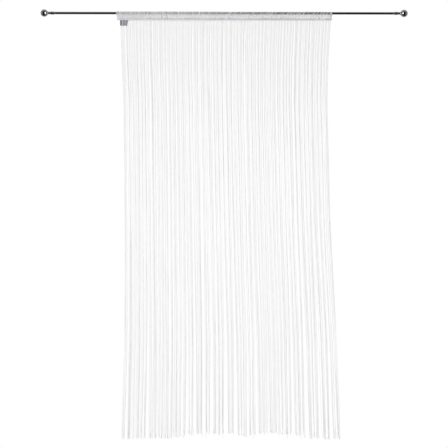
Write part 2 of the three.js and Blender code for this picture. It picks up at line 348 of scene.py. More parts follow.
def tube_caps(tubes, rings, sides):
    """The two flat ends of each tube."""
    start = np.arange(tubes)[:, None] * rings * sides
    side = np.arange(sides)
    first = start + side[::-1]
    last = start + (rings - 1) * sides + side
    return first.tolist() + last.tolist()


def carry(made, name, values):
    """Gives each point of a mesh a number, for its finish to read."""
    layer = made.data.attributes.new(name, "FLOAT", "POINT")
    layer.data.foreach_set("value", np.asarray(values, float).ravel())


print("a tube of 3 rings with 6 sides has", len(tube_faces(1, 3, 6)), "faces and two ends")

# %% [markdown]
# ## The dark chrome
#
# The rod and the balls are plated with a dark, polished metal. It looks almost black where it
# mirrors the dark room in front and pale at its rims, where it mirrors the white sheet behind. So
# the metal itself is a mid grey with a low roughness. Fine lengthwise polishing lines and a few
# duller patches, as fingers leave, keep it from looking like a computer's perfect mirror. The
# neck of each ball is painted darker in its hollow, as the shade that falls there: the mesh
# carries a number for this painted shade.

# %% Finish: dark chrome
# The dark tone is where the painted shade in a ball's neck goes. The fingered patches only lean a
# little towards it.
CHROME_TONES = {"painted_shade": (0.08, 0.08, 0.083), "bright": (0.35, 0.35, 0.36)}
CHROME_ROUGHNESS = (0.06, 0.15)
PATCH_TONES = (0.7, 1.0)
# How much darker the neck's hollow is painted, as shade.
HOLLOW_PAINTED_SHADE = 0.5
POLISHING_LINES = {"distance": 0.02 * MM, "strength": 0.25}
EVEN = (1.0, 1.0, 1.0)
LENGTHWISE = (0.02, 1.0, 1.0)


def new_finish(name, colour, roughness, **values):
    """A material with one Principled shader, whose even values are set on its own sockets."""
    finish = bpy.data.materials.new(name)
    finish.use_nodes = True
    shader = finish.node_tree.nodes["Principled BSDF"]
    shader.inputs["Base Color"].default_value = (*colour, 1)
    shader.inputs["Roughness"].default_value = roughness
    for socket, value in values.items():
        shader.inputs[socket.replace("_", " ")].default_value = value
    return finish, finish.node_tree, shader


def stretched_noise(tree, scale, stretch, detail=3.0):
    """Noise in the object's own coordinates, stretched along some of them."""
    place = tree.nodes.new("ShaderNodeTexCoord")
    mapping = node(tree, "ShaderNodeMapping", Scale=stretch)
    noise = node(tree, "ShaderNodeTexNoise", Scale=scale, Detail=detail)
    tree.links.new(place.outputs["Object"], mapping.inputs["Vector"])
    tree.links.new(mapping.outputs["Vector"], noise.inputs["Vector"])
    return noise.outputs["Fac"]


def spread(tree, source, low, high):
    """Turns 0 to 1 into low to high."""
    made = node(tree, "ShaderNodeMapRange")
    made.inputs["To Min"].default_value = low
    made.inputs["To Max"].default_value = high
    tree.links.new(source, made.inputs["Value"])
    return made.outputs["Result"]


def bump_from(tree, shader, height, distance, strength=1.0):
    made = node(tree, "ShaderNodeBump", Strength=strength, Distance=distance)
    tree.links.new(height, made.inputs["Height"])
    tree.links.new(made.outputs["Normal"], shader.inputs["Normal"])


def two_colours(tree, factor, dark, light):
    ramp = tree.nodes.new("ShaderNodeValToRGB")
    ramp.color_ramp.elements[0].color = (*dark, 1)
    ramp.color_ramp.elements[1].color = (*light, 1)
    tree.links.new(factor, ramp.inputs["Fac"])
    return ramp.outputs["Color"]


def carried(tree, name):
    """A number that the mesh carries at each of its points."""
    made = tree.nodes.new("ShaderNodeAttribute")
    made.attribute_name = name
    return made.outputs["Fac"]


def dark_chrome():
    finish, tree, shader = new_finish("dark_chrome", CHROME_TONES["bright"], 0.11, Metallic=1.0)
    lines = stretched_noise(tree, 900.0, LENGTHWISE)
    patches = stretched_noise(tree, 28.0, EVEN)
    tree.links.new(spread(tree, patches, *CHROME_ROUGHNESS), shader.inputs["Roughness"])
    # Painted shade: the base colour is darker in the hollow of a ball's neck.
    painted_shade = calculated(tree, "MULTIPLY", carried(tree, "painted_shade"), HOLLOW_PAINTED_SHADE)
    tone = calculated(tree, "SUBTRACT", spread(tree, patches, *PATCH_TONES), painted_shade)
    colour = two_colours(tree, tone, *CHROME_TONES.values())
    tree.links.new(colour, shader.inputs["Base Color"])
    bump_from(tree, shader, lines, **POLISHING_LINES)
    return finish


DARK_CHROME = dark_chrome()
print("made", DARK_CHROME.name)

# %% [markdown]
# ## The rod
#
# The rod is a thin steel tube, 12 mm thick, that runs from socket to socket. Rings of points round
# a straight line are enough, and its shine does the rest. Its size is read from the frame, so the
# rod that shows is exactly as long and thick as the solid one.

# %% Curtain rod
ROD_SIDES = 72
ROD_RINGS = 60


def make_rod():
    low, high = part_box("rod")
    radius = (high[2] - low[2]) / 2
    along = np.linspace(low[0], high[0], ROD_RINGS)
    angle = np.arange(ROD_SIDES) * 2 * math.pi / ROD_SIDES
    ring = np.stack([np.zeros(ROD_SIDES), np.cos(angle), np.sin(angle)], axis=-1) * radius
    points = ring[None] + along[:, None, None] * np.array([1.0, 0.0, 0.0])
    faces = tube_faces(1, ROD_RINGS, ROD_SIDES).tolist() + tube_caps(1, ROD_RINGS, ROD_SIDES)
    rod = make_object("curtain_rod", points.reshape(-1, 3), faces, DARK_CHROME)
    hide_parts("rod")
    return rod


curtain_rod = make_rod()
print("rod", curtain_rod.dimensions[:], "m")

# %% [markdown]
# ## The ball finials
#
# A finial is turned on a lathe: a ball, a neck with a hollow curve, and a socket with a low bead at
# both ends, where the rod slides in. So it is made the same way, by turning a profile. The profile
# has the solid's own measures, with small rounds where the solid has sharp corners, and the left
# and right finial are the same piece turned about. The shine card is linked to the two balls
# alone, so it leaves no bright line on the rod.

# %% Ball finials
BALL_CENTRE = 842
BALL_RADIUS = 17.4
BALL_FOOT_RADIUS = 7.8
NECK_RADIUS = 5.5
SOCKET_RADIUS = 7.1
BEAD_RADIUS = 7.4
BORE_RADIUS = 6.3
BORE_END = 33.2
FINIAL_SIDES = 96
BALL_STEPS = 40
ROUND_STEPS = 5
POLE_RADIUS = 0.05
# Painted shade along the finial's axis: 1 in the hollow of the neck.
NECK_PAINTED_SHADE = [
    {"along": 13, "painted_shade": 0},
    {"along": 16, "painted_shade": 1},
    {"along": 28, "painted_shade": 1},
    {"along": 32, "painted_shade": 0},
]

TURNED = [
    {"along": 17.6, "radius": 6.8, "round": 0.8},
    {"along": 20.0, "radius": 5.9, "round": 1.0},
    {"along": 22.6, "radius": NECK_RADIUS, "round": 1.2},
    {"along": 25.6, "radius": NECK_RADIUS, "round": 1.2},
    {"along": 28.4, "radius": 5.9, "round": 0.9},
    {"along": 30.4, "radius": 6.7, "round": 0.7},
    {"along": 31.8, "radius": BEAD_RADIUS, "round": 0.6},
    {"along": 34.6, "radius": BEAD_RADIUS, "round": 0.5},
    {"along": 36.0, "radius": SOCKET_RADIUS, "round": 0.5},
    {"along": 41.0, "radius": SOCKET_RADIUS, "round": 0.4},
    {"along": 42.2, "radius": BEAD_RADIUS, "round": 0.5},
    {"along": 44.6, "radius": BEAD_RADIUS, "round": 0.5},
    {"along": 45.6, "radius": SOCKET_RADIUS, "round": 0.2},
    {"along": 45.6, "radius": BORE_RADIUS, "round": 0.2},
    {"along": BORE_END, "radius": BORE_RADIUS, "round": 0.1},
]


def rounded(before, corner, after, reach):
    """A few points that turn a corner of the profile in a soft bend."""
    towards_before = before - corner
    towards_after = after - corner
    start = corner + towards_before * reach / np.linalg.norm(towards_before)
    end = corner + towards_after * reach / np.linalg.norm(towards_after)
    shares = np.linspace(0, 1, ROUND_STEPS)
    return [(1 - t) ** 2 * start + 2 * t * (1 - t) * corner + t**2 * end for t in shares]


def finial_profile():
    """Places along the axis and radii, from the ball's outer pole to the bottom of the bore."""
    foot_angle = math.asin(BALL_FOOT_RADIUS / BALL_RADIUS)
    angles = np.linspace(math.pi, foot_angle, BALL_STEPS)
    ball = np.stack([np.cos(angles), np.sin(angles)], axis=-1) * BALL_RADIUS
    corners = [np.array([row["along"], row["radius"]]) for row in TURNED]
    corners = [ball[-1], *corners, np.array([BORE_END, POLE_RADIUS])]
    profile = list(ball)
    for i, row in enumerate(TURNED, start=1):
        profile += rounded(corners[i - 1], corners[i], corners[i + 1], row["round"])
    profile.append(corners[-1])
    profile[0] = np.array([-BALL_RADIUS, POLE_RADIUS])
    return np.array(profile)


def make_finial(name, node_name, side):
    """side is -1 for the left finial and 1 for the right one."""
    profile = finial_profile() * MM
    rings = len(profile)
    angle = side * np.arange(FINIAL_SIDES) * 2 * math.pi / FINIAL_SIDES
    points = np.zeros((rings, FINIAL_SIDES, 3))
    points[:, :, 0] = side * (BALL_CENTRE * MM - profile[:, :1])
    points[:, :, 1] = profile[:, 1:] * np.cos(angle)
    points[:, :, 2] = profile[:, 1:] * np.sin(angle)
    faces = tube_faces(1, rings, FINIAL_SIDES)[:, ::-1].tolist()
    caps = [face[::-1] for face in tube_caps(1, rings, FINIAL_SIDES)]
    finial = make_object(name, points.reshape(-1, 3), faces + caps, DARK_CHROME)
    # The neck's painted shade, which the chrome's finish reads.
    in_neck = between(NECK_PAINTED_SHADE, "along", "painted_shade", profile[:, 0] / MM)
    carry(finial, "painted_shade", np.repeat(in_neck, FINIAL_SIDES))
    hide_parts(node_name)
    return finial


finial_left = make_finial("ball_finial_left", "finial_left", -1)
finial_right = make_finial("ball_finial_right", "finial_right", 1)
shiny_balls = bpy.data.collections.new("shiny_balls")
shiny_balls.objects.link(finial_left)
shiny_balls.objects.link(finial_right)
lamps["ball_shine_card"].light_linking.receiver_collection = shiny_balls
print("finials of", triangle_count(finial_left), "triangles each")

# %% [markdown]
# ## The sheer cloth
#
# The tape is woven so openly that the dark rod shows through it as a grey band. The threads are
# opaque and the holes between them are not, so the shader's alpha follows a fine grid of threads:
# two wave patterns at right angles. The mesh of the tape carries three numbers at each point.
# Gathered says how close the threads lie, and so how much they hide. The second number is painted
# shade and painted light: it darkens the cloth where folds shade each other, and lights their
# crests. The third is high where the seam has pulled the cloth in, and there paints the shade of
# upright folds that are too small for the mesh, as fine dark and light stripes.

# %% Finish: sheer woven cloth
THREAD_PITCH = 0.75 * MM
# The painted shade of the puckers: fine upright stripes at this pitch, which wander.
PUCKER_PITCH = 1.9 * MM
PUCKER_WANDER = 6.0
COVER = (0.16, 0.7)
COVER_GATHERED = 0.5
CLOTH_TONES = {"painted_cloth_shade": (0.32, 0.313, 0.342), "lit": (0.82, 0.812, 0.838)}
UNEVEN_TONE = (0.45, 0.8)
# How much the painted shade darkens the cloth. Below 0 it is painted light.
PAINTED_SHADE_TONE = -0.7
# How much lighter and darker those painted stripes make the cloth.
PUCKER_PAINTED_SHADE = (0.3, -1.5)
THREAD_RELIEF = {"distance": 0.12 * MM, "strength": 0.6}


def bands(tree, pitch, direction, distortion=0.0):
    """Stripes across one direction of the cloth's own map, which is in metres."""
    place = tree.nodes.new("ShaderNodeUVMap")
    place.uv_map = "Cloth"
    scale = 1.0 / (20.0 * pitch) * math.pi
    wave = node(tree, "ShaderNodeTexWave", Scale=scale, Distortion=distortion)
    wave.bands_direction = direction
    tree.links.new(place.outputs["UV"], wave.inputs["Vector"])
    return wave.outputs["Fac"]


def woven_height(tree, pitch):
    """Two sets of crossing threads."""
    return calculated(tree, "MAXIMUM", bands(tree, pitch, "X"), bands(tree, pitch, "Y"))


def sheer_cloth():
    finish, tree, shader = new_finish(
        "sheer_white_cloth", (0.66, 0.655, 0.675), 0.72, Sheen_Weight=0.12, Sheen_Roughness=0.4
    )
    threads = woven_height(tree, THREAD_PITCH)
    uneven = spread(tree, stretched_noise(tree, 60.0, EVEN), *UNEVEN_TONE)
    # Painted shade where folds shade each other, and painted light on crests, seam and hem.
    painted_cloth_shade = calculated(tree, "MULTIPLY", carried(tree, "painted_cloth_shade"), PAINTED_SHADE_TONE)
    # Painted shade of upright folds too small for the mesh, as fine stripes where the seam puckers
    # the cloth.
    painted_fold_stripes = spread(tree, bands(tree, PUCKER_PITCH, "X", PUCKER_WANDER), *PUCKER_PAINTED_SHADE)
    painted_pucker_shade = calculated(tree, "MULTIPLY", carried(tree, "painted_pucker_shade"), painted_fold_stripes)
    tone = calculated(tree, "ADD", uneven, calculated(tree, "ADD", painted_cloth_shade, painted_pucker_shade))
    colour = two_colours(tree, tone, *CLOTH_TONES.values())
    tree.links.new(colour, shader.inputs["Base Color"])
    woven = spread(tree, threads, *COVER)
    gathered = calculated(tree, "MULTIPLY", carried(tree, "gathered"), COVER_GATHERED)
    cover = calculated(tree, "MINIMUM", calculated(tree, "ADD", woven, gathered), 1.0)
    tree.links.new(cover, shader.inputs["Alpha"])
    bump_from(tree, shader, threads, **THREAD_RELIEF)
    return finish


SHEER_CLOTH = sheer_cloth()
print("made", SHEER_CLOTH.name, "with threads every", THREAD_PITCH / MM, "mm")

# %% [markdown]
# ## The heading tape
#
# The tape is one strip of cloth folded in half over the rod, with its hems turned in and the
# string band sewn between them. Seen from the end it is a drop: a half circle over the rod, two
# slanting sides, a pinched seam, and two flat hems. It could be a simulated cloth, but the rod and
# the stitches hold its shape, so a grid along that drop is surer. First come its sizes and the
# drop, as one side that is mirrored.

# %% Heading tape: sizes
TAPE_LEFT = -506
TAPE_RIGHT = 505
TAPE_LEFT_LEAN = 5
LEAN_REACH = 70
TAPE_FOOT = -26.7
BAY = 16.5
WAVES = [
    {"reach": 0.8, "length": 83, "shift": 0.4},
    {"reach": 0.3, "length": 61, "shift": 2.1},
]

# One side of the drop, from the turned-in hem up to the rod's axis
TAPE_SIDE = [
    {"depth": 27.6, "stands_off": 1.25, "steps": 4},
    {"depth": 31.9, "stands_off": 1.3, "steps": 3},
    {"depth": 32.9, "stands_off": 1.52, "steps": 3},
    {"depth": 31.9, "stands_off": 1.76, "steps": 5},
    {"depth": 27.6, "stands_off": 1.72, "steps": 4},
    {"depth": 25.0, "stands_off": 1.3, "steps": 3},
    {"depth": 23.4, "stands_off": 0.55, "steps": 3},
    {"depth": 21.4, "stands_off": 0.85, "steps": 4},
    {"depth": 17.5, "stands_off": 1.9, "steps": 5},
    {"depth": 12.5, "stands_off": 3.7, "steps": 5},
    {"depth": 7.0, "stands_off": 5.8, "steps": 4},
    {"depth": 3.0, "stands_off": 7.0, "steps": 3},
    {"depth": 0.0, "stands_off": 7.3, "steps": 1},
]
TAPE_TOP = 6.6
ARC_ROWS = 18
SEAM_DEPTH = 23.4
HEM_DEPTH = 28.6
TURNED_IN_ROWS = 8


def wave_at(x):
    """How far the tape and the strings stand to the back or front at x."""
    bay = np.floor(np.asarray(x, float) / BAY)
    ends = []
    for edge in (bay, bay + 1):
        offset = 0
        for row in WAVES:
            offset = offset + row["reach"] * np.sin(
                2 * math.pi * edge * BAY / row["length"] + row["shift"]
            )
        ends.append(offset)
    share = x / BAY - bay
    return ends[0] * (1 - share) + ends[1] * share


def tape_profile():
    """Points (y, z) from the front hem over the rod to the back hem."""
    front = []
    for row, after in zip(TAPE_SIDE, TAPE_SIDE[1:]):
        for share in np.arange(row["steps"]) / row["steps"]:
            off = row["stands_off"] + share * (after["stands_off"] - row["stands_off"])
            front.append((-off, -(row["depth"] + share * (after["depth"] - row["depth"]))))
    front = np.array(front)
    radius = TAPE_SIDE[-1]["stands_off"]
    angle = np.linspace(math.pi, 0, ARC_ROWS)
    top = np.stack([radius * np.cos(angle), TAPE_TOP * np.sin(angle)], axis=-1)
    back = front[::-1] * np.array([-1, 1])
    return np.concatenate([front, top, back])


profile = tape_profile()
print("tape profile of", len(profile), "points")

# %% [markdown]
# ## The creases of the tape
#
# Gathered cloth creases where it is pulled along the rod and held by the seam. The larger creases
# are a table made from the photograph: slanting ones on the right, where the cloth is
# drawn tight, and two deep upright ones on the left. Each row has its x at the rod, how wide and
# high it is, how far it leans on its way to the seam, how dense its threads lie, and the depth
# at which it fades. A height below 0 is a valley. The small ones between them come by chance.

# %% Heading tape: tables of creases
CREASES = [
    {"x": -503, "width": 4.0, "height": 0.9, "lean": 6, "dense": 0.0, "fades": 30},
    {"x": -502, "width": 6.0, "height": 0.0, "lean": 0, "dense": -0.3, "fades": 10},
    {"x": -494, "width": 2.0, "height": -0.8, "lean": 7, "dense": 0.1, "fades": 30},
    {"x": -487, "width": 2.2, "height": 0.8, "lean": 6, "dense": 0.15, "fades": 30},
    {"x": -477, "width": 1.6, "height": -0.6, "lean": 4, "dense": 0.0, "fades": 12},
    {"x": -452, "width": 3.0, "height": 0.8, "lean": -5, "dense": 0.0, "fades": 30},
    {"x": -368, "width": 2.0, "height": -0.6, "lean": 3, "dense": -0.3, "fades": 12},
    {"x": -350, "width": 1.8, "height": -0.8, "lean": 0, "dense": -0.3, "fades": 16},
    {"x": -292, "width": 2.3, "height": -5.5, "lean": 1, "dense": 0.55, "fades": 28},
    {"x": -282, "width": 5.0, "height": 0.4, "lean": 0, "dense": -0.05, "fades": 30},
    {"x": -271, "width": 2.3, "height": -5.5, "lean": 7, "dense": 0.5, "fades": 28},
    {"x": -222, "width": 2.0, "height": -2.5, "lean": 2, "dense": 0.0, "fades": 26},
    {"x": -115, "width": 2.2, "height": 0.9, "lean": -8, "dense": 0.5, "fades": 14},
    {"x": -104, "width": 2.0, "height": 0.8, "lean": -6, "dense": 0.3, "fades": 30},
    {"x": -69, "width": 2.2, "height": 0.8, "lean": -6, "dense": 0.4, "fades": 12},
    {"x": 20, "width": 2.0, "height": -0.7, "lean": -14, "dense": 0.0, "fades": 12},
    {"x": 31, "width": 2.6, "height": 1.0, "lean": -24, "dense": 0.7, "fades": 11},
    {"x": 52, "width": 2.2, "height": 0.9, "lean": -24, "dense": 0.5, "fades": 11},
    {"x": 79, "width": 2.2, "height": 0.9, "lean": -24, "dense": 0.45, "fades": 11},
    {"x": 145, "width": 2.5, "height": 0.8, "lean": -12, "dense": 0.2, "fades": 20},
    {"x": 199, "width": 1.7, "height": 0.9, "lean": -24, "dense": 1.2, "fades": 11},
    {"x": 212, "width": 1.7, "height": 0.8, "lean": -24, "dense": 1.0, "fades": 11},
    {"x": 226, "width": 1.7, "height": 1.1, "lean": -24, "dense": 1.5, "fades": 11},
    {"x": 241, "width": 1.7, "height": 0.6, "lean": -24, "dense": 0.6, "fades": 11},
    {"x": 268, "width": 1.7, "height": 0.6, "lean": -24, "dense": 0.4, "fades": 11},
    {"x": 302, "width": 1.7, "height": 0.9, "lean": -24, "dense": 1.2, "fades": 11},
    {"x": 316, "width": 1.7, "height": 0.9, "lean": -24, "dense": 1.4, "fades": 11},
    {"x": 330, "width": 1.7, "height": 0.9, "lean": -24, "dense": 1.2, "fades": 11},
    {"x": 344, "width": 1.7, "height": 0.9, "lean": -24, "dense": 1.4, "fades": 11},
    {"x": 358, "width": 1.7, "height": 0.8, "lean": -24, "dense": 1.3, "fades": 11},
    {"x": 373, "width": 1.7, "height": 1.1, "lean": -24, "dense": 1.6, "fades": 11},
    {"x": 397, "width": 1.7, "height": 0.6, "lean": -24, "dense": 0.7, "fades": 11},
    {"x": 423, "width": 1.7, "height": 1.0, "lean": -24, "dense": 1.5, "fades": 11},
    {"x": 438, "width": 1.7, "height": 0.8, "lean": -24, "dense": 1.0, "fades": 11},
    {"x": 453, "width": 1.7, "height": 0.9, "lean": -24, "dense": 1.2, "fades": 11},
    {"x": 469, "width": 1.7, "height": 1.0, "lean": -24, "dense": 1.5, "fades": 11},
    {"x": 483, "width": 1.7, "height": 1.1, "lean": -24, "dense": 1.6, "fades": 11},
    {"x": 500, "width": 7.0, "height": -1.6, "lean": -3, "dense": 0.6, "fades": 40},
    {"x": 501, "width": 8.0, "height": 0.0, "lean": 0, "dense": 0.8, "fades": 10},
]
SMALL_CREASES = [
    {"count": 66, "narrow": 1.8, "wide": 3.8, "low": 0.25, "high": 1.1, "dense": 0.5},
    {"count": 150, "narrow": 0.9, "wide": 1.9, "low": 0.1, "high": 0.45, "dense": 0.3},
]
SHARE_OF_VALLEYS = 0.35
SEAM_WANDER = [
    {"length": 211, "reach": 0.5},
    {"length": 67, "reach": 0.4},
    {"length": 29, "reach": 0.3},
]


def small_crease(series, number, draw):
    """One little gather along the seam, as a row like those of the table."""
    spacing = (TAPE_RIGHT - TAPE_LEFT) / series["count"]
    wider = (series["wide"] - series["narrow"]) * chance(draw + 1)
    higher = (series["high"] - series["low"]) * chance(draw + 2)
    up_or_down = -1 if chance(draw + 4) < SHARE_OF_VALLEYS else 1
    crowded = 0.35 + 0.6 * number / series["count"]
    return {
        "x": TAPE_LEFT + spacing * (number + 0.5 + 0.6 * either_way(draw)),
        "width": series["narrow"] + wider,
        "height": (series["low"] + higher) * up_or_down,
        "lean": -3 + 6 * either_way(draw + 3),
        "dense": series["dense"] * crowded * chance(draw + 5),
        "fades": 12 + 30 * chance(draw + 6),
    }


def small_creases():
    rows = []
    for series in SMALL_CREASES:
        for number in range(series["count"]):
            draw = DRAWS["crumple"] + 10 * (len(rows) + 1)
            rows.append(small_crease(series, number, draw))
    return rows


ALL_CREASES = CREASES + small_creases()
print(len(CREASES), "creases by hand and", len(ALL_CREASES) - len(CREASES), "by chance")

# %% [markdown]
# ## Pressing the creases in
#
# Each crease is a soft ridge across the grid, and all of them are added up. The cloth can rise
# freely but can't sink into the rod, so the sum is cut off at the slack that the cloth has at each
# depth. The stitches hold the cloth, so the ridges are lower at the seam and the hem. A seam sewn
# by eye also runs up and down by about a millimetre, and the stitches follow it later.

# %% Heading tape: press the creases in
TAPE_COLUMNS = 860
CREASE_RISE = 1.9
CREASE_FADE = 5
RISE_SHARE = 0.6
BACK_LEAN = -0.6
SLACK = [
    {"depth": 0, "slack": 0.35},
    {"depth": 9, "slack": 0.9},
    {"depth": 16, "slack": 0.8},
    {"depth": 21, "slack": 0.3},
]
SEWN = [
    {"depth": SEAM_DEPTH, "reach": 1.6, "holds": 0.5},
    {"depth": HEM_DEPTH, "reach": 2.5, "holds": 0.5},
]
WANDERS = [
    {"depth": 15, "share": 0},
    {"depth": SEAM_DEPTH, "share": 1},
    {"depth": HEM_DEPTH + 3, "share": 0.3},
]
TOP_RISE = [
    {"x": -506, "rise": 1.5},
    {"x": -100, "rise": 1.3},
    {"x": 60, "rise": 0.1},
    {"x": 505, "rise": 0},
]


def bell(away, reach):
    """1 in the middle, falling softly to 0 at about twice the reach."""
    return np.exp(-((away / reach) ** 2))


def crease_field(x, depth, is_front, name, rows=ALL_CREASES):
    """The sum of one column of the creases, at x and at a depth below the rod's axis."""
    down = np.clip(depth / SEAM_DEPTH, -0.35, 1.4)
    total = np.zeros_like(x)
    for row in rows:
        lean = row["lean"] * (1 if is_front else BACK_LEAN)
        ridge = bell(x - row["x"] - lean * down, row["width"])
        total += row[name] * ridge * np.clip((row["fades"] - depth) / CREASE_FADE, 0, 1)
    return total


def crease_lift(x, depth, is_front):
    """How far the creases lift the cloth. The stitches hold them down, and so does the rod."""
    lift = crease_field(x, depth, is_front, "height")
    slack = between(SLACK, "depth", "slack", depth)
    lift = np.clip(lift, -slack, CREASE_RISE) * np.clip((depth + 8) / 6, 0.35, 1)
    for row in SEWN:
        lift = lift * (1 - row["holds"] * bell(depth - row["depth"], row["reach"]))
    return lift


def seam_wander(x, depth):
    """How far the seam and the hem run up or down, because they were sewn by eye."""
    up = sum(row["reach"] * np.sin(2 * math.pi * x / row["length"]) for row in SEAM_WANDER)
    return up * between(WANDERS, "depth", "share", depth)


def tape_grid():
    """Points of the creased tape, how deep each hangs under the axis, and which are in front."""
    top_x = np.linspace(TAPE_LEFT, TAPE_RIGHT, TAPE_COLUMNS)
    y, z = profile[:, None, 0], profile[:, None, 1]
    down = np.clip(z / TAPE_FOOT, 0, 1)
    lean = TAPE_LEFT_LEAN * np.clip(1 - (top_x - TAPE_LEFT) / LEAN_REACH, 0, 1) ** 2
    x = top_x + lean * down
    step = np.gradient(profile, axis=0)
    outward = np.stack([-step[:, 1], step[:, 0]], axis=-1)
    outward /= np.linalg.norm(outward, axis=-1, keepdims=True)
    turned_in = np.arange(len(profile)) < TURNED_IN_ROWS
    turned_in |= turned_in[::-1]
    outward[turned_in] *= -1
    is_front = (profile[:, 0] < 0)[:, None]
    depth = -z + 0 * x
    lift = np.where(is_front, crease_lift(x, depth, True), crease_lift(x, depth, False))
    y = y + outward[:, :1] * lift + wave_at(x) * down
    z = z + outward[:, 1:] * lift * RISE_SHARE
    z = z * (1 + (depth < 0) * between(TOP_RISE, "x", "rise", x) / TAPE_TOP)
    z = z + seam_wander(x, depth)
    return np.stack([x, y, z], axis=-1), depth, is_front


grid, grid_depth, grid_front = tape_grid()
across = np.linalg.norm(np.diff(grid, axis=1), axis=-1).sum(axis=1).mean()
round_rod = np.linalg.norm(np.diff(grid, axis=0), axis=-1).sum(axis=0).mean()
print(f"tape measures {across:.0f} mm along its creases and {round_rod:.0f} mm round the rod")

# %% [markdown]
# ## Where the tape is gathered, painted with light and shade, and where it puckers
#
# The finish of the tape reads three numbers at each point, and this cell works them out. The cloth
# is slacker and closer on the left and drawn out on the right, and each crease adds threads where
# it stands. The second number is painted light and shade: painted shade towards the right and where
# folds shade each other, and painted light along the seam, below the hem and on the crests. A
# machine seam also pulls the cloth into little puckers, about a centimetre apart and no two alike,
# so they get their own steps, widths, depths and slants by chance.

# %% Heading tape: where it is gathered, painted with light and shade, and where it puckers
DENSE = {"left": 0.2, "right": -0.7}
HEM_DENSE = {"from": -100, "left": 0.15, "right": -0.15}
BACK_DENSE = 0.3
DENSE_LIMITS = (-0.8, 1.2)
PAINTED_SHADE_LIMITS = (-0.8, 1)
# Painted light and shade: lighter at the seam, below the hem and on crests, darker towards the
# right.
SEAM_LIT = {"reach": 1.5, "tone": -0.1}
HEM_LIT = {"starts": 1.5, "over": 3, "tone": -0.25}
SHADED = [
    {"x": -500, "tone": 0.05},
    {"x": -300, "tone": -0.15},
    {"x": -100, "tone": 0},
    {"x": 300, "tone": 0.5},
    {"x": TAPE_RIGHT, "tone": 0.65},
]
CREST_LIT = {"dense": 0.4, "height": 0.22}
PUCKERS = 110
PUCKER_HEIGHT = 3.2
PUCKER_GATHERS = 0.6


def puckered_share():
    """The little puckers that cross the seam, at uneven steps, and deeper towards the right."""
    x = grid[..., 0]
    total = np.zeros_like(x)
    spacing = (TAPE_RIGHT - TAPE_LEFT) / PUCKERS
    for number in range(PUCKERS):
        draw = DRAWS["pinch"] + 10 * number
        middle = TAPE_LEFT + spacing * (number + 0.5 + 0.6 * either_way(draw))
        down = grid_depth - SEAM_DEPTH - 3 * chance(draw + 1)
        width = 1.4 + 1.8 * chance(draw + 2)
        deep = (1.7 + 1.2 * number / PUCKERS) * chance(draw + 3) ** 2.2
        slant = 0.6 * either_way(draw + 4)
        total += deep * bell(x - middle - slant * down, width) * bell(down, PUCKER_HEIGHT)
    return np.minimum(total, 1)


PUCKERED = puckered_share()


def gathered_share():
    """How closely the threads lie at each point of the grid."""
    x = grid[..., 0]
    crowd = np.where(
        grid_front,
        crease_field(x, grid_depth, True, "dense"),
        BACK_DENSE * crease_field(x, grid_depth, False, "dense"),
    )
    slow = np.interp(x, [TAPE_LEFT, TAPE_RIGHT], [DENSE["left"], DENSE["right"]])
    hem = np.interp(x, [HEM_DENSE["from"], TAPE_RIGHT], [HEM_DENSE["left"], HEM_DENSE["right"]])
    hem = hem * np.clip((grid_depth - SEAM_DEPTH + 2) / 6, 0, 1)
    return np.clip(slow + crowd + hem + PUCKER_GATHERS * PUCKERED, *DENSE_LIMITS)


def painted_shade_share():
    """Painted shade where folds shade each other and towards the right. Below 0 is painted light:
    on the crests, along the seam and below the hem.
    """
    x = grid[..., 0]
    below = grid_depth - SEAM_DEPTH
    tone = SEAM_LIT["tone"] * bell(below, SEAM_LIT["reach"])
    tone += HEM_LIT["tone"] * np.clip((below - HEM_LIT["starts"]) / HEM_LIT["over"], 0, 1)
    tone += between(SHADED, "x", "tone", x) * np.clip(-below / 2, 0.2, 1)
    lit = CREST_LIT["dense"] * crease_field(x, grid_depth, True, "dense", CREASES)
    lit += CREST_LIT["height"] * crease_field(x, grid_depth, True, "height")
    return np.clip(tone - lit * grid_front, *PAINTED_SHADE_LIMITS)


print("gathered", gathered_share().mean().round(2), "painted_cloth_shade", painted_shade_share().mean().round(2))

# %% [markdown]
# ## Making the tape
#
# The grid becomes one thin sheet with a map of the cloth laid flat, in metres, so that its threads
# have the same size everywhere. One layer is enough: the weave is see-through, and both halves of
# the folded strip show through each other as they do on the real tape.


def grid_quads(rows, columns):
    """The faces of a grid whose points run row by row."""
    index = np.arange(rows * columns).reshape(rows, columns)
    corners = [index[:-1, :-1], index[:-1, 1:], index[1:, 1:], index[1:, :-1]]
    return np.stack(corners, axis=-1).reshape(-1, 4)


def flat_map(along_columns, along_rows):
    """Where each point of a grid lies on the cloth laid flat."""
    u, v = np.meshgrid(along_columns, along_rows)
    return np.stack([u, v], axis=-1).reshape(-1, 2)


def make_tape():
    rows, columns = grid.shape[:2]
    faces = grid_quads(rows, columns)
    width, height = across * MM, round_rod * MM
    place = flat_map(np.linspace(0, width, columns), np.linspace(0, height, rows))
    points = grid.reshape(-1, 3) * MM
    tape = make_object(
        "sheer_heading_tape", points, faces, SHEER_CLOTH, place[faces.ravel()]
    )
    carry(tape, "gathered", gathered_share())
    # Painted light and shade, for the cloth's finish.
    carry(tape, "painted_cloth_shade", painted_shade_share())
    # Where the puckers' painted shade shows, for the cloth's finish.
    carry(tape, "painted_pucker_shade", PUCKERED)
    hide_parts("heading_tape")
    return tape


heading_tape = make_tape()
print("heading tape of", triangle_count(heading_tape), "triangles")

# %% [markdown]
# ## The white yarn
#
# Each string is a soft twisted yarn of polyester. Close up it is two plies that wind round each
# other, with a faint fuzz. The twist is far too fine and too long for real geometry, nearly 400
# turns on each of 300 strings, so it is a bump: a sine that climbs along the yarn as it goes round.
# The same sine also paints the grooves between the plies darker, as painted shade. A noise
# stretched along the yarn makes some stretches a shade brighter than others, as fuzz does.

# %% Finish: white twisted yarn
TWIST_PITCH = 5 * MM
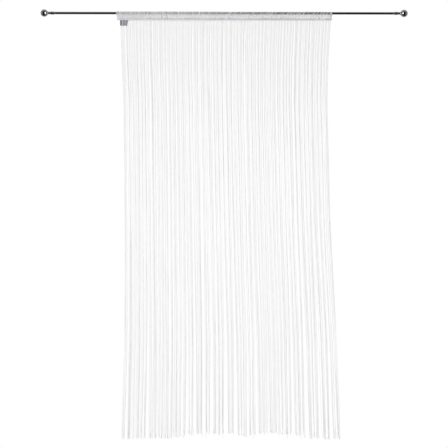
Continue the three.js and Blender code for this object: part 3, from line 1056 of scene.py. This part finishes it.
# The darker tone is painted shade in the grooves between the plies.
YARN_TONES = {"painted_groove_shade": (0.6, 0.6, 0.61), "ply": (0.78, 0.78, 0.785)}
PLY_RELIEF = {"distance": 0.18 * MM, "strength": 0.8}
UPRIGHT = (1.0, 1.0, 0.08)


def white_yarn():
    """Two plies: the sine goes twice round the yarn while it climbs along it."""
    dark, light = YARN_TONES.values()
    finish, tree, shader = new_finish(
        "white_twisted_yarn", light, 0.85, Sheen_Weight=0.25, Sheen_Roughness=0.5
    )
    place = node(tree, "ShaderNodeUVMap")
    place.uv_map = "Cloth"
    parts = tree.nodes.new("ShaderNodeSeparateXYZ")
    tree.links.new(place.outputs["UV"], parts.inputs[0])
    climb = calculated(tree, "DIVIDE", parts.outputs["Y"], TWIST_PITCH)
    turn = calculated(tree, "MULTIPLY_ADD", parts.outputs["X"], 2.0, climb)
    plies = calculated(tree, "SINE", calculated(tree, "MULTIPLY", turn, 2 * math.pi))
    height = calculated(tree, "MULTIPLY_ADD", plies, 0.5, 0.5)
    fuzz = stretched_noise(tree, 300.0, UPRIGHT)
    # Painted shade in the grooves between the plies, with the fuzz's noise on top.
    shade = calculated(tree, "MULTIPLY_ADD", height, 0.5, spread(tree, fuzz, 0.0, 0.5))
    colour = two_colours(tree, shade, dark, light)
    tree.links.new(colour, shader.inputs["Base Color"])
    bump_from(tree, shader, height, **PLY_RELIEF)
    return finish


WHITE_YARN = white_yarn()
print("made", WHITE_YARN.name, "with a ply every", TWIST_PITCH / MM / 2, "mm")

# %% [markdown]
# ## How the strings hang
#
# Under the tape the strings stand evenly, about 3.3 mm apart. Soft yarn clings to its neighbours,
# so further down they gather into bunches of about six with gaps between, and a few wide partings
# run nearly to the top. A hair simulation could find a way for them to hang, but not this one. So
# tables give the curtain's outline, the partings and how tight the bunches are, and the same few
# formulas as in the solids turn them into a place for each string.

# %% Strings: tables
STRING_COUNT = 300
ROOT = 30.5
LAYERS = [0, -1, 1]
LAYER_STEP = 2.2
LAYERS_FULL = 500
UNEVEN_SPACING = 0.3
UNEVEN_CUT = 11
STRAGGLERS = {"share": 0.25, "longer": 26, "lowest": 1992}
LONERS = {"share": 0.45, "outward": 1.1}
OUTLINE = [
    {"drop": 34, "left": -485, "right": 499},
    {"drop": 219, "left": -480, "right": 489},
    {"drop": 406, "left": -472, "right": 485},
    {"drop": 968, "left": -467, "right": 502},
    {"drop": 1529, "left": -467, "right": 530},
    {"drop": 1979, "left": -477, "right": 546},
]
LOWEST = OUTLINE[-1]
STRING_ENDS = [
    {"x": -347, "drop": 1990},
    {"x": -230, "drop": 1983},
    {"x": -113, "drop": 1965},
    {"x": 50, "drop": 1966},
    {"x": 98, "drop": 1977},
    {"x": 145, "drop": 1971},
    {"x": 177, "drop": 1962},
    {"x": 336, "drop": 1968},
    {"x": 385, "drop": 1986},
    {"x": 546, "drop": 1990},
]
PARTINGS = [
    {"x": -455, "width": 6, "opens": 1500},
    {"x": -413, "width": 5, "opens": 1400},
    {"x": -356, "width": 13, "opens": 1250},
    {"x": -192, "width": 6, "opens": 900},
    {"x": -169, "width": 12, "opens": 900},
    {"x": -136, "width": 8, "opens": 700},
    {"x": -90, "width": 9, "opens": 300},
    {"x": -57, "width": 12, "opens": 350},
    {"x": 9, "width": 13, "opens": 350},
    {"x": 56, "width": 12, "opens": 900},
    {"x": 112, "width": 9, "opens": 350},
    {"x": 154, "width": 8, "opens": 1200},
    {"x": 328, "width": 12, "opens": 640},
    {"x": 388, "width": 13, "opens": 640},
    {"x": 453, "width": 12, "opens": 800},
    {"x": 500, "width": 8, "opens": 1300},
]
PUSH_REACH = 40
TIGHTNESS = [
    {"x": -478, "tight": 0.5},
    {"x": -330, "tight": 0.45},
    {"x": -300, "tight": 0.42},
    {"x": -200, "tight": 0.45},
    {"x": -170, "tight": 0.62},
    {"x": 140, "tight": 0.62},
    {"x": 170, "tight": 0.42},
    {"x": 310, "tight": 0.42},
    {"x": 340, "tight": 0.6},
    {"x": 546, "tight": 0.6},
]
UNEVEN_TIGHTNESS = 0.15
BUNCH_OF = 6
UNEVEN_BUNCHES = 0.6
BUNCHES_OPEN = {"earliest": 150, "latest": 900}
GROWTH = 1.3
print(len(PARTINGS), "wide partings")

# %% [markdown]
# ## Gathering the bunches
#
# The bunches are worked out once, from left to right: where each begins and ends, how tight it is
# and how far down it starts to close. None reaches across a parting, because a parting is where
# two bunches have drawn away from each other.

# %% Strings: gather them into bunches


def string_share(index):
    """A string's share of the way from the left edge to the right one."""
    is_edge = index in (0, STRING_COUNT - 1)
    shift = 0 if is_edge else UNEVEN_SPACING * (chance(DRAWS["spacing"] + index) - 0.5)
    return (index + shift) / (STRING_COUNT - 1)


def half_up(value):
    """Rounds to a whole number, with halves always going up."""
    return math.floor(value + 0.5)


def gather_bunches():
    """The bunches from left to right. No bunch reaches across a parting."""
    width = LOWEST["right"] - LOWEST["left"]
    firsts = [half_up((row["x"] - LOWEST["left"]) / width * STRING_COUNT) for row in PARTINGS]
    bounds = [0, *firsts, STRING_COUNT]
    bunches = []
    for low, high in zip(bounds, bounds[1:]):
        parts = max(1, half_up((high - low) / BUNCH_OF))
        start = low
        for part in range(1, parts + 1):
            draw = len(bunches)
            shift = UNEVEN_BUNCHES * (chance(DRAWS["bunch_edge"] + draw) - 0.5)
            shift = shift if part < parts else 0
            end = low + half_up((part + shift) * (high - low) / parts)
            share = (string_share(start) + string_share(end - 1)) / 2
            x = LOWEST["left"] + share * width
            uneven = UNEVEN_TIGHTNESS * either_way(DRAWS["bunch_tightness"] + draw)
            opening = chance(DRAWS["bunch_opening"] + draw)
            earliest, latest = BUNCHES_OPEN["earliest"], BUNCHES_OPEN["latest"]
            tight = between(TIGHTNESS, "x", "tight", x) + uneven
            opens = earliest + (latest - earliest) * opening
            row = {"end": end, "share": share, "x": x, "tight": tight, "opens": opens}
            bunches.append(row)
            start = end
    return bunches


BUNCHES = gather_bunches()
print(len(BUNCHES), "bunches")

# %% [markdown]
# ## A place for each string
#
# A string's place at a drop is its share of the outline's width, moved towards the middle of its
# bunch and away from the partings. From the roots on, the strings also leave the single row of the
# band and hang in three layers, one behind the other, as they do where they are too many to hang
# side by side.

# %% Strings: the place of each one
CUT_MIDDLE = 0.65


def growth(drop, opens):
    """From 0 where a bunch or a parting opens to 1 at the string ends."""
    return np.maximum(0, (drop - opens) / (LOWEST["drop"] - opens)) ** GROWTH


def pushed_aside(bunch, drop):
    """How far the partings push a bunch to the right."""
    push = 0
    for row in PARTINGS:
        away = bunch["x"] - row["x"]
        fades = math.exp(-abs(away) / PUSH_REACH)
        push = push + np.sign(away) * row["width"] / 2 * fades * growth(drop, row["opens"])
    return push


def string_middle(index, drop):
    """The middle of a string at an array of drops, in millimetres."""
    bunch = next(row for row in BUNCHES if index < row["end"])
    share = string_share(index)
    left = between(OUTLINE, "drop", "left", drop)
    width = between(OUTLINE, "drop", "right", drop) - left
    gathered = bunch["tight"] * growth(drop, bunch["opens"])
    from_middle = (share - bunch["share"]) * width * (1 - gathered)
    x = left + bunch["share"] * width + pushed_aside(bunch, drop) + from_middle
    first = OUTLINE[0]
    root_x = first["left"] + share * (first["right"] - first["left"])
    parted = np.clip((drop - ROOT) / (LAYERS_FULL - ROOT), 0, 1)
    layer = LAYERS[index % len(LAYERS)] * LAYER_STEP * parted**2 * (3 - 2 * parted)
    return np.stack([x, wave_at(root_x) + layer, -drop], axis=-1)


def string_end(index):
    """The drop at which a string is cut."""
    end_x = string_middle(index, np.array([LOWEST["drop"]], float))[0, 0]
    uneven = UNEVEN_CUT * (chance(DRAWS["cut"] + index) - CUT_MIDDLE)
    straggles = max(0, 1 - chance(DRAWS["cut"] + 1000 + index) / STRAGGLERS["share"])
    longer = STRAGGLERS["longer"] * straggles**2
    end = between(STRING_ENDS, "x", "drop", end_x) + uneven + longer
    return min(end, STRAGGLERS["lowest"])


print("first string ends at", string_middle(0, np.array([string_end(0)])).round(1))

# %% [markdown]
# ## Clumps and slits
#
# Strings spaced by formula alone would look like a comb. On a real curtain, up to seven neighbours
# cling together in small clumps from the root on, and bright slits stay open under the tape where
# two clumps turn away from each other. The widest slits are a table made from the photograph. All
# this moves a string by a few millimetres, and less again towards its end.

# %% Strings: small clumps and slits
SLITS = [
    {"x": -463, "width": 3},
    {"x": -428, "width": 2},
    {"x": -372, "width": 2},
    {"x": -250, "width": 2},
    {"x": -146, "width": 5},
    {"x": -118, "width": 5},
    {"x": -88, "width": 5},
    {"x": -63, "width": 5},
    {"x": 0, "width": 6},
    {"x": 52, "width": 3},
    {"x": 99, "width": 6},
    {"x": 210, "width": 3},
    {"x": 276, "width": 2},
    {"x": 373, "width": 2},
]
SLIT_REACH = 8
SLITS_OPEN = [
    {"drop": 34, "open": 0},
    {"drop": 90, "open": 1},
    {"drop": 500, "open": 1.2},
    {"drop": 1500, "open": 0},
]
CLUMP_SIZES = [1, 2, 3, 3, 4, 4, 5, 5, 6, 7]
CLUMPING = [
    {"drop": 28, "clump": 0.15, "bunch": 0.0},
    {"drop": 150, "clump": 0.22, "bunch": 0.04},
    {"drop": 500, "clump": 0.26, "bunch": 0.26},
    {"drop": 1000, "clump": 0.22, "bunch": 0.34},
    {"drop": 1500, "clump": 0.12, "bunch": 0.22},
    {"drop": 1990, "clump": 0.0, "bunch": 0.0},
]


def gather_clumps():
    """The first string of each clump and the first one after it, from left to right."""
    clumps = []
    start = 0
    while start < STRING_COUNT:
        draw = DRAWS["clump"] + len(clumps)
        size = CLUMP_SIZES[int(chance(draw) * len(CLUMP_SIZES))]
        end = min(start + size, STRING_COUNT)
        clumps.append((start, end))
        start = end
    return clumps


CLUMPS = gather_clumps()
BUNCH_ENDS = column(BUNCHES, "end")
BUNCH_GROUPS = list(zip([0, *BUNCH_ENDS], BUNCH_ENDS))


def group_of(groups, index):
    """The first string of the group that holds a string, and the first one after it."""
    return next(group for group in groups if group[0] <= index < group[1])


def way_to_middle(group, own, drop):
    """How far it is to the right from a string to the middle of its group."""
    first = string_middle(group[0], drop)[:, 0]
    last = string_middle(group[1] - 1, drop)[:, 0]
    return (first + last) / 2 - own


def off_the_slits(x, drop):
    """How far the slits under the tape push a string to the right."""
    away = x - np.array(column(SLITS, "x"))
    pushes = np.sign(away) * column(SLITS, "width") * np.exp(-np.abs(away) / SLIT_REACH)
    return pushes.sum() / 2 * between(SLITS_OPEN, "drop", "open", drop)


def drawn_in(index, drop):
    """How far a string moves to the right, into its clump and its bunch and off the slits."""
    own = string_middle(index, drop)[:, 0]
    clump = group_of(CLUMPS, index)
    uneven = 0.6 + 0.8 * chance(DRAWS["clump"] + 500 + clump[0])
    to_clump = way_to_middle(clump, own, drop) * uneven
    to_bunch = way_to_middle(group_of(BUNCH_GROUPS, index), own, drop)
    alone = max(0, 1 - chance(DRAWS["clump"] + 1000 + index) / LONERS["share"])
    outward = LONERS["outward"] * alone * np.clip(drop / LOWEST["drop"], 0, 1) ** 2
    into_clump = between(CLUMPING, "drop", "clump", drop) * to_clump
    into_bunch = (between(CLUMPING, "drop", "bunch", drop) - outward) * to_bunch
    return into_clump + into_bunch + off_the_slits(own[0], drop)


print(len(CLUMPS), "clumps")

# %% [markdown]
# ## Sway and flick
#
# A straight tube from root to end would look like wire. Soft yarn wanders slowly to both sides,
# keeps small kinks from the packet it was folded in, and flicks out where it is cut. So a few
# slow and quick waves are added to each line, and each is only a millimetre or two.

# %% Strings: their soft lines
STRING_ROOT = 29.5
RINGS = 110
SWAYS = [
    {"length": 1300, "reach": 1.4, "full": 600},
    {"length": 420, "reach": 0.4, "full": 300},
    {"length": 130, "reach": 0.14, "full": 150},
    {"length": 52, "reach": 0.08, "full": 120},
]
FLICK_LENGTH = 55
FLICK_REACH = 6.0


def soft_line(index):
    """The line of one string, in millimetres, with rings closer together near its end."""
    end = string_end(index)
    even = np.linspace(0, 1, RINGS)
    drop = STRING_ROOT + (end - STRING_ROOT) * (1 - (1 - even) ** 1.15)
    line = string_middle(index, drop)
    line[:, 0] += drawn_in(index, drop)
    for number, row in enumerate(SWAYS):
        draw = DRAWS["sway"] + 50 * index + 5 * number
        length = row["length"] * (1 + 0.3 * either_way(draw))
        fade_in = np.clip((drop - STRING_ROOT) / row["full"], 0, 1)
        for axis in (0, 1):
            phase = 2 * math.pi * chance(draw + 1 + axis)
            reach = row["reach"] * either_way(draw + 3 + axis)
            line[:, axis] += reach * fade_in * np.sin(2 * math.pi * drop / length + phase)
    flick = np.clip(1 - (end - drop) / FLICK_LENGTH, 0, 1) ** 2
    draw = DRAWS["flick"] + 2 * index
    line[:, 0] += FLICK_REACH * either_way(draw) ** 3 * flick
    line[:, 1] += 0.6 * FLICK_REACH * either_way(draw + 1) * flick
    return line


LINES = np.stack([soft_line(index) for index in range(STRING_COUNT)])
lengths = np.linalg.norm(np.diff(LINES, axis=1), axis=-1).sum(axis=1)
print(f"strings are {lengths.min():.0f} to {lengths.max():.0f} mm long")

# %% [markdown]
# ## The string panels
#
# The strings are joined into panels of 50, so that there are six pieces to handle and not 300. A
# yarn of 1.2 mm has the same cross-section as the three-sided strand of the solid. Its thickness
# varies a little along its length. At the cut end the plies open into a small brush of fibres.

# %% String panels: thickness and fibres
YARN_RADIUS = 0.6
FULLER = {"root": 0.26, "end": 0.2, "reach": 130}
UNEVEN_YARN = 0.08
THICKER = {"share": 0.03, "slow": 47, "quick": 13}
FIBRES = 4
FIBRE_RINGS = 5
FIBRE_SPREAD = 1.8


def yarn_radii(index, drop):
    """A slow and a quick change of thickness along the yarn."""
    draw = DRAWS["thickness"] + 4 * index
    slow = np.sin(drop / THICKER["slow"] + 6 * chance(draw))
    quick = np.sin(drop / THICKER["quick"] + 6 * chance(draw + 1))
    whole = 1 + UNEVEN_YARN * either_way(draw + 2)
    fuller = 1 + FULLER["root"] * np.exp(-(drop - ROOT) / FULLER["reach"])
    fuller += FULLER["end"] * np.exp(-(LOWEST["drop"] - drop) / FULLER["reach"])
    return YARN_RADIUS * whole * fuller * (1 + THICKER["share"] * (slow + quick))


def fibre_lines(index):
    """The few fibres that open out below a string's cut end."""
    end = LINES[index, -1]
    before = LINES[index, -4]
    way = (end - before) / np.linalg.norm(end - before)
    along = np.linspace(0, 1, FIBRE_RINGS)[:, None]
    lines = []
    for fibre in range(FIBRES):
        draw = DRAWS["fray"] + 40 * index + 7 * fibre
        reach = 3 + 5 * chance(draw)
        out = np.array([either_way(draw + 1), either_way(draw + 2), 0]) * FIBRE_SPREAD
        start = end - way * 1.5 + out * 0.12
        lines.append(start + way * reach * along + out * along**2)
    return lines


first_yarn = 2 * yarn_radii(0, -LINES[0, :, 2])
print(f"first yarn is {first_yarn.min():.2f} to {first_yarn.max():.2f} mm thick")

# %% String panels: tubes with their map and ends
YARN_SIDES = 6


def around_line(lines, radii, sides):
    """Points of upright tubes round lines of points. The rings stay level."""
    angle = np.arange(sides) * 2 * math.pi / sides
    ring = np.stack([np.cos(angle), np.sin(angle), np.zeros(sides)], axis=-1)
    return lines[:, :, None, :] + radii[:, :, None, None] * ring


def tube_map(lines, sides):
    """The map of tubes: the share round each tube, and the way along it in metres."""
    tubes, rings = lines.shape[:2]
    steps = np.linalg.norm(np.diff(lines, axis=1), axis=-1)
    along = np.concatenate([np.zeros((tubes, 1)), np.cumsum(steps, axis=1)], axis=1) * MM
    share = np.arange(sides) / sides
    low = np.broadcast_to(along[:, :-1, None], (tubes, rings - 1, sides))
    high = np.broadcast_to(along[:, 1:, None], (tubes, rings - 1, sides))
    this = np.broadcast_to(share, low.shape)
    after = this + 1 / sides
    corners = [(this, low), (after, low), (after, high), (this, high)]
    return np.stack([np.stack(corner, axis=-1) for corner in corners], axis=-2).reshape(-1, 2)


def tubes_with_ends(lines, radii, sides):
    """Points, faces and map of a batch of closed tubes."""
    tubes, rings = lines.shape[:2]
    points = around_line(lines, radii, sides).reshape(-1, 3) * MM
    sides_of = tube_faces(tubes, rings, sides)[:, ::-1]
    caps = [face[::-1] for face in tube_caps(tubes, rings, sides)]
    place = tube_map(lines, sides).reshape(-1, 4, 2)[:, ::-1].reshape(-1, 2)
    cap_place = np.zeros((len(caps) * sides, 2))
    return points, sides_of.tolist() + caps, np.concatenate([place, cap_place])


print("a yarn has", RINGS * YARN_SIDES, "points")

# %% String panels: make them
PANELS = 6
FIBRE_SIDES = 3
FIBRE_RADIUS = 0.2


def make_panel(number):
    """One panel of strings with their frayed ends."""
    size = STRING_COUNT // PANELS
    members = range(number * size, (number + 1) * size)
    yarns = LINES[list(members)]
    radii = np.stack([yarn_radii(i, -LINES[i, :, 2]) for i in members])
    points, faces, place = tubes_with_ends(yarns, radii, YARN_SIDES)
    fibres = np.stack([line for i in members for line in fibre_lines(i)])
    taper = np.linspace(FIBRE_RADIUS, 0.4 * FIBRE_RADIUS, FIBRE_RINGS)
    thin = np.broadcast_to(taper, fibres.shape[:2])
    more_points, more_faces, more_place = tubes_with_ends(fibres, thin, FIBRE_SIDES)
    faces += [[corner + len(points) for corner in face] for face in more_faces]
    points = np.concatenate([points, more_points])
    place = np.concatenate([place, more_place])
    name = f"string_panel_{number + 1}"
    panel = make_object(name, points, faces, WHITE_YARN, place)
    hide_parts("strings")
    return panel


panels = [make_panel(number) for number in range(PANELS)]
print(len(panels), "panels of", triangle_count(panels[0]), "triangles each")

# %% [markdown]
# ## The string band
#
# The strings aren't sewn on one by one. They are knitted into a narrow band, and each string runs
# up through it as a small rib. The band is a front and a back grid with a rib at every string and a
# scalloped lower edge, closed round the rim to a thin solid strip. Its upper edge is tucked between
# the tape's two layers.

# %% String band
BAND_TOP = 24.6
BAND_FOOT = 35.6
BAND_THIN = 0.35
BAND_RIB = 0.5
BAND_ROWS = 11
RIB_COLUMNS = 6
SCALLOP = 1.6
SCALLOP_TOP = 30
KNIT = {"height": 0.12, "pitch": 1.8}
BAND_PAST_STRINGS = 4.0


def closed_faces(rows, columns):
    """The faces of two grids of points, a front and a back, and of the rim between them."""
    index = np.arange(rows * columns).reshape(rows, columns)
    other = rows * columns
    front = grid_quads(rows, columns)
    rim = np.concatenate([index[0, :], index[1:, -1], index[-1, -2::-1], index[-2:0:-1, 0]])
    after = np.roll(rim, -1)
    edge = np.stack([after, rim, rim + other, after + other], axis=-1)
    return np.concatenate([front, front[:, ::-1] + other, edge])


def band_columns():
    """Where the band's columns of points stand, six for each string, and the rib at each."""
    roots = LINES[:, 0, 0]
    number = np.arange(-1, STRING_COUNT, 1 / RIB_COLUMNS)
    ends = [roots[0] - BAND_PAST_STRINGS, *roots, roots[-1] + BAND_PAST_STRINGS]
    x = np.interp(number, np.arange(-1, STRING_COUNT + 1), ends)
    return x, np.cos(math.pi * number) ** 4, number


def make_band():
    """The knitted band: a front and a back with a rib at each string, closed at its rim."""
    x, rib, number = band_columns()
    depth = np.linspace(BAND_TOP, BAND_FOOT, BAND_ROWS)[:, None]
    knit = KNIT["height"] * np.sin(2 * math.pi * (depth / KNIT["pitch"] + number))
    stands = BAND_THIN + (BAND_RIB + knit) * rib
    foot = np.clip((depth - SCALLOP_TOP) / (BAND_FOOT - SCALLOP_TOP), 0, 1)
    z = -(depth - SCALLOP * foot * (1 - rib))
    layers = [
        np.stack([x + 0 * depth, wave_at(x) + side * stands, z], axis=-1) for side in (-1, 1)
    ]
    points = np.concatenate([layer.reshape(-1, 3) for layer in layers]) * MM
    faces = closed_faces(BAND_ROWS, len(x))[:, [0, 3, 2, 1]]
    up = np.linspace(0, BAND_FOOT - BAND_TOP, BAND_ROWS)
    place = np.concatenate([flat_map(x * MM, up * MM)] * 2)
    band = make_object(
        "string_band", points, faces, WHITE_YARN, place[faces.ravel()]
    )
    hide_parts("strings")
    return band


string_band = make_band()
print("string band of", triangle_count(string_band), "triangles")

# %% [markdown]
# ## The stitching
#
# Two rows of machine stitches close the rod pocket and hold the band. Each stitch is a short piece
# of thread that rises out of the cloth and dips back in, so a small arched tube repeated along the
# seam is the honest way. The thread is white like the cloth, and the stitches follow the wander of
# the seam, so that they lie on the cloth and not in it.

# %% Seam stitches
STITCH_ROWS = [
    {"depth": SEAM_DEPTH, "stands_off": 0.55},
    {"depth": HEM_DEPTH, "stands_off": 1.74},
]
STITCH_PITCH = 3.2
STITCH_LENGTH = 2.5
THREAD_RADIUS = 0.2
STITCH_ARCH = 0.28
STITCH_TILT = 0.15
STITCH_RINGS = 5
THREAD_SIDES = 5


def stitch_lines(depth, off, face):
    """Stitches along a seam. face is -1 for the front and 1 for the back."""
    starts = np.arange(TAPE_LEFT + TAPE_LEFT_LEAN + 2, TAPE_RIGHT - 3, STITCH_PITCH)
    t = np.linspace(0, 1, STITCH_RINGS)
    x = starts[:, None] + STITCH_LENGTH * t
    lift = crease_lift(x, np.full_like(x, depth), face < 0)
    arch = STITCH_ARCH * np.sin(math.pi * t)
    y = wave_at(x) * min(1, -depth / TAPE_FOOT) + face * (off + lift + arch)
    tilt = STITCH_TILT * np.sin(starts * 1.7)[:, None] * (t - 0.5)
    return np.stack([x, y, tilt - depth + seam_wander(x, depth)], axis=-1)


def make_stitching():
    """All the stitches as one mesh. Their rings stand across x, along which the thread runs."""
    sides = [(row, face) for row in STITCH_ROWS for face in (-1, 1)]
    lines = [stitch_lines(row["depth"], row["stands_off"], face) for row, face in sides]
    lines = np.concatenate(lines)
    angle = np.arange(THREAD_SIDES) * 2 * math.pi / THREAD_SIDES
    ring = np.stack([np.zeros(THREAD_SIDES), np.cos(angle), np.sin(angle)], axis=-1)
    points = (lines[:, :, None] + THREAD_RADIUS * ring).reshape(-1, 3) * MM
    tubes = len(lines)
    faces = tube_faces(tubes, STITCH_RINGS, THREAD_SIDES).tolist()
    faces += tube_caps(tubes, STITCH_RINGS, THREAD_SIDES)
    cap_place = np.zeros((2 * tubes * THREAD_SIDES, 2))
    place = np.concatenate([tube_map(lines, THREAD_SIDES), cap_place])
    return make_object("seam_stitches", points, faces, WHITE_YARN, place)


seam_stitches = make_stitching()
print("stitches of", triangle_count(seam_stitches), "triangles")

# %% [markdown]
# ## The label
#
# A small grey label hangs from the band at the left. It is a piece of woven ribbon, sewn in along
# its top edge, that curls a little away from the strings. It is left bare. Its finish is a fine
# satin rib with darker edges, and darker in an upright band at the middle and towards the right
# edge. Its one pale upright fold is a painted highlight, and the darker turned edge beside it is
# painted shade.

# %% Finish: grey label ribbon
RIBBON_PITCH = 0.6 * MM
# The light tone is the fold's painted highlight. The dark one is the turned edge's painted shade,
# the rim and the bands.
RIBBON_TONES = {"edge": (0.1, 0.097, 0.12), "fold": (0.42, 0.415, 0.46)}
RIBBON_CLOUDS = (0.25, 0.55)
RIBBON_RELIEF = {"distance": 0.08 * MM, "strength": 0.6}


def grey_ribbon():
    finish, tree, shader = new_finish(
        "grey_label_ribbon", (0.27, 0.265, 0.3), 0.6, Sheen_Weight=0.2, Sheen_Roughness=0.4
    )
    ribs = woven_height(tree, RIBBON_PITCH)
    cloudy = spread(tree, stretched_noise(tree, 90.0, EVEN), *RIBBON_CLOUDS)
    woven = calculated(tree, "MULTIPLY", ribs, cloudy)
    # Painted highlight on the fold and painted shade on the turned edge, with the darker rim and
    # bands.
    painted_light_and_shade = calculated(tree, "MULTIPLY", carried(tree, "shade"), 0.5)
    tone = calculated(tree, "ADD", calculated(tree, "ADD", woven, painted_light_and_shade), 0.3)
    colour = two_colours(tree, tone, *RIBBON_TONES.values())
    tree.links.new(colour, shader.inputs["Base Color"])
    bump_from(tree, shader, ribs, **RIBBON_RELIEF)
    return finish


GREY_RIBBON = grey_ribbon()
print("made", GREY_RIBBON.name)

# %% Label
LABEL_FLAT = (0.039, 0.029)
LABEL_LEFT = -487
LABEL_WIDTH = 39
LABEL_TOP = -30.2
LABEL_FOOT = -58.6
LABEL_ROOM = 0.5
LABEL_SLANT = 6
LABEL_TILT = 2.2
LABEL_CURL = 0.8
LABEL_FOLD = {"at": 0.3, "width": 0.05, "height": 0.9}
LABEL_COLUMNS = 60
LABEL_ROWS = 44
LABEL_THICKNESS = 0.45


def label_grid():
    """The label's middle surface, with one upright fold, and lower corners that curl."""
    down = np.linspace(0, 1, LABEL_ROWS)[:, None]
    across_label = np.linspace(0, 1, LABEL_COLUMNS)[None]
    x = LABEL_LEFT + across_label * (LABEL_WIDTH - LABEL_SLANT * down)
    corner = (2 * across_label - 1) ** 4 * down**3
    belly = LABEL_CURL * down * np.sin(math.pi * across_label)
    fold = bell(across_label - LABEL_FOLD["at"], LABEL_FOLD["width"])
    stands_off = LABEL_TILT * down + belly + 0.5 * corner + LABEL_FOLD["height"] * fold
    ripple = 0.15 * np.sin(9 * across_label + 4 * down) * down
    y = wave_at(x) - BAND_THIN - LABEL_ROOM - stands_off - ripple
    z = LABEL_TOP + (LABEL_FOOT - LABEL_TOP) * down - 1.2 * across_label * down
    return np.stack([x, y, z], axis=-1)


def label_shades():
    """What the finish reads: 1 on the fold's painted highlight, 0 on the ribbon, down to -1 on the
    turned edge's painted shade, the rim and two upright bands.
    """
    down = np.linspace(0, 1, LABEL_ROWS)[:, None]
    share = np.linspace(0, 1, LABEL_COLUMNS)[None]
    # Painted highlight along the fold.
    fold = bell(share - LABEL_FOLD["at"], 1.2 * LABEL_FOLD["width"])
    # Painted shade on the turned edge beside the fold.
    painted_turned_shade = np.clip((LABEL_FOLD["at"] - 0.06 - share) / 0.04, 0, 1)
    to_rim = np.minimum(np.minimum(share, 1 - share), np.minimum(down, 1 - down))
    rim = np.clip(1 - to_rim / 0.05, 0, 1)
    # Darker in an upright band at the middle and towards the right edge.
    darker_bands = 0.5 * bell(share - 0.5, 0.1) + 0.7 * np.clip((share - 0.85) / 0.1, 0, 1)
    return np.clip(fold - painted_turned_shade - rim - darker_bands, -1, 1)


def both_sides(surface, thickness):
    """Points of a surface, copied a little to its front and to its back."""
    normal = np.cross(np.gradient(surface, axis=1), np.gradient(surface, axis=0))
    normal /= np.linalg.norm(normal, axis=-1, keepdims=True)
    away = normal * thickness / 2
    return np.concatenate([surface + away, surface - away]).reshape(-1, 3)


def make_label():
    """A closed thin ribbon: the middle surface, copied a little to both sides."""
    points = both_sides(label_grid(), LABEL_THICKNESS) * MM
    faces = closed_faces(LABEL_ROWS, LABEL_COLUMNS)
    width, height = LABEL_FLAT
    place = flat_map(np.linspace(0, width, LABEL_COLUMNS), np.linspace(0, height, LABEL_ROWS))
    place = np.concatenate([place] * 2)
    made = make_object(
        "bare_grey_label", points, faces, GREY_RIBBON, place[faces.ravel()]
    )
    # Painted light and shade of the label, for its finish.
    carry(made, "shade", np.concatenate([label_shades().ravel()] * 2))
    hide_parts("label")
    return made


label = make_label()
print("label of", triangle_count(label), "triangles")

# %% [markdown]
# ## The floor's finish
#
# The floor is only a stage. A nearly white matt finish with the faintest cloudiness is enough. It
# is about as bright as the sky behind the curtain, so that no grey line crosses the other views.

# %% Finish: pale floor
FLOOR_TONES = {"cloudy": (0.824, 0.824, 0.824), "clear": (0.84, 0.84, 0.84)}
floor_finish, floor_tree, floor_shader = new_finish("pale_floor", FLOOR_TONES["clear"], 0.9)
floor_clouds = stretched_noise(floor_tree, 1.5, EVEN)
floor_colour = two_colours(floor_tree, floor_clouds, *FLOOR_TONES.values())
floor_tree.links.new(floor_colour, floor_shader.inputs["Base Color"])
floor_data.materials.append(floor_finish)
print("made", floor_finish.name)
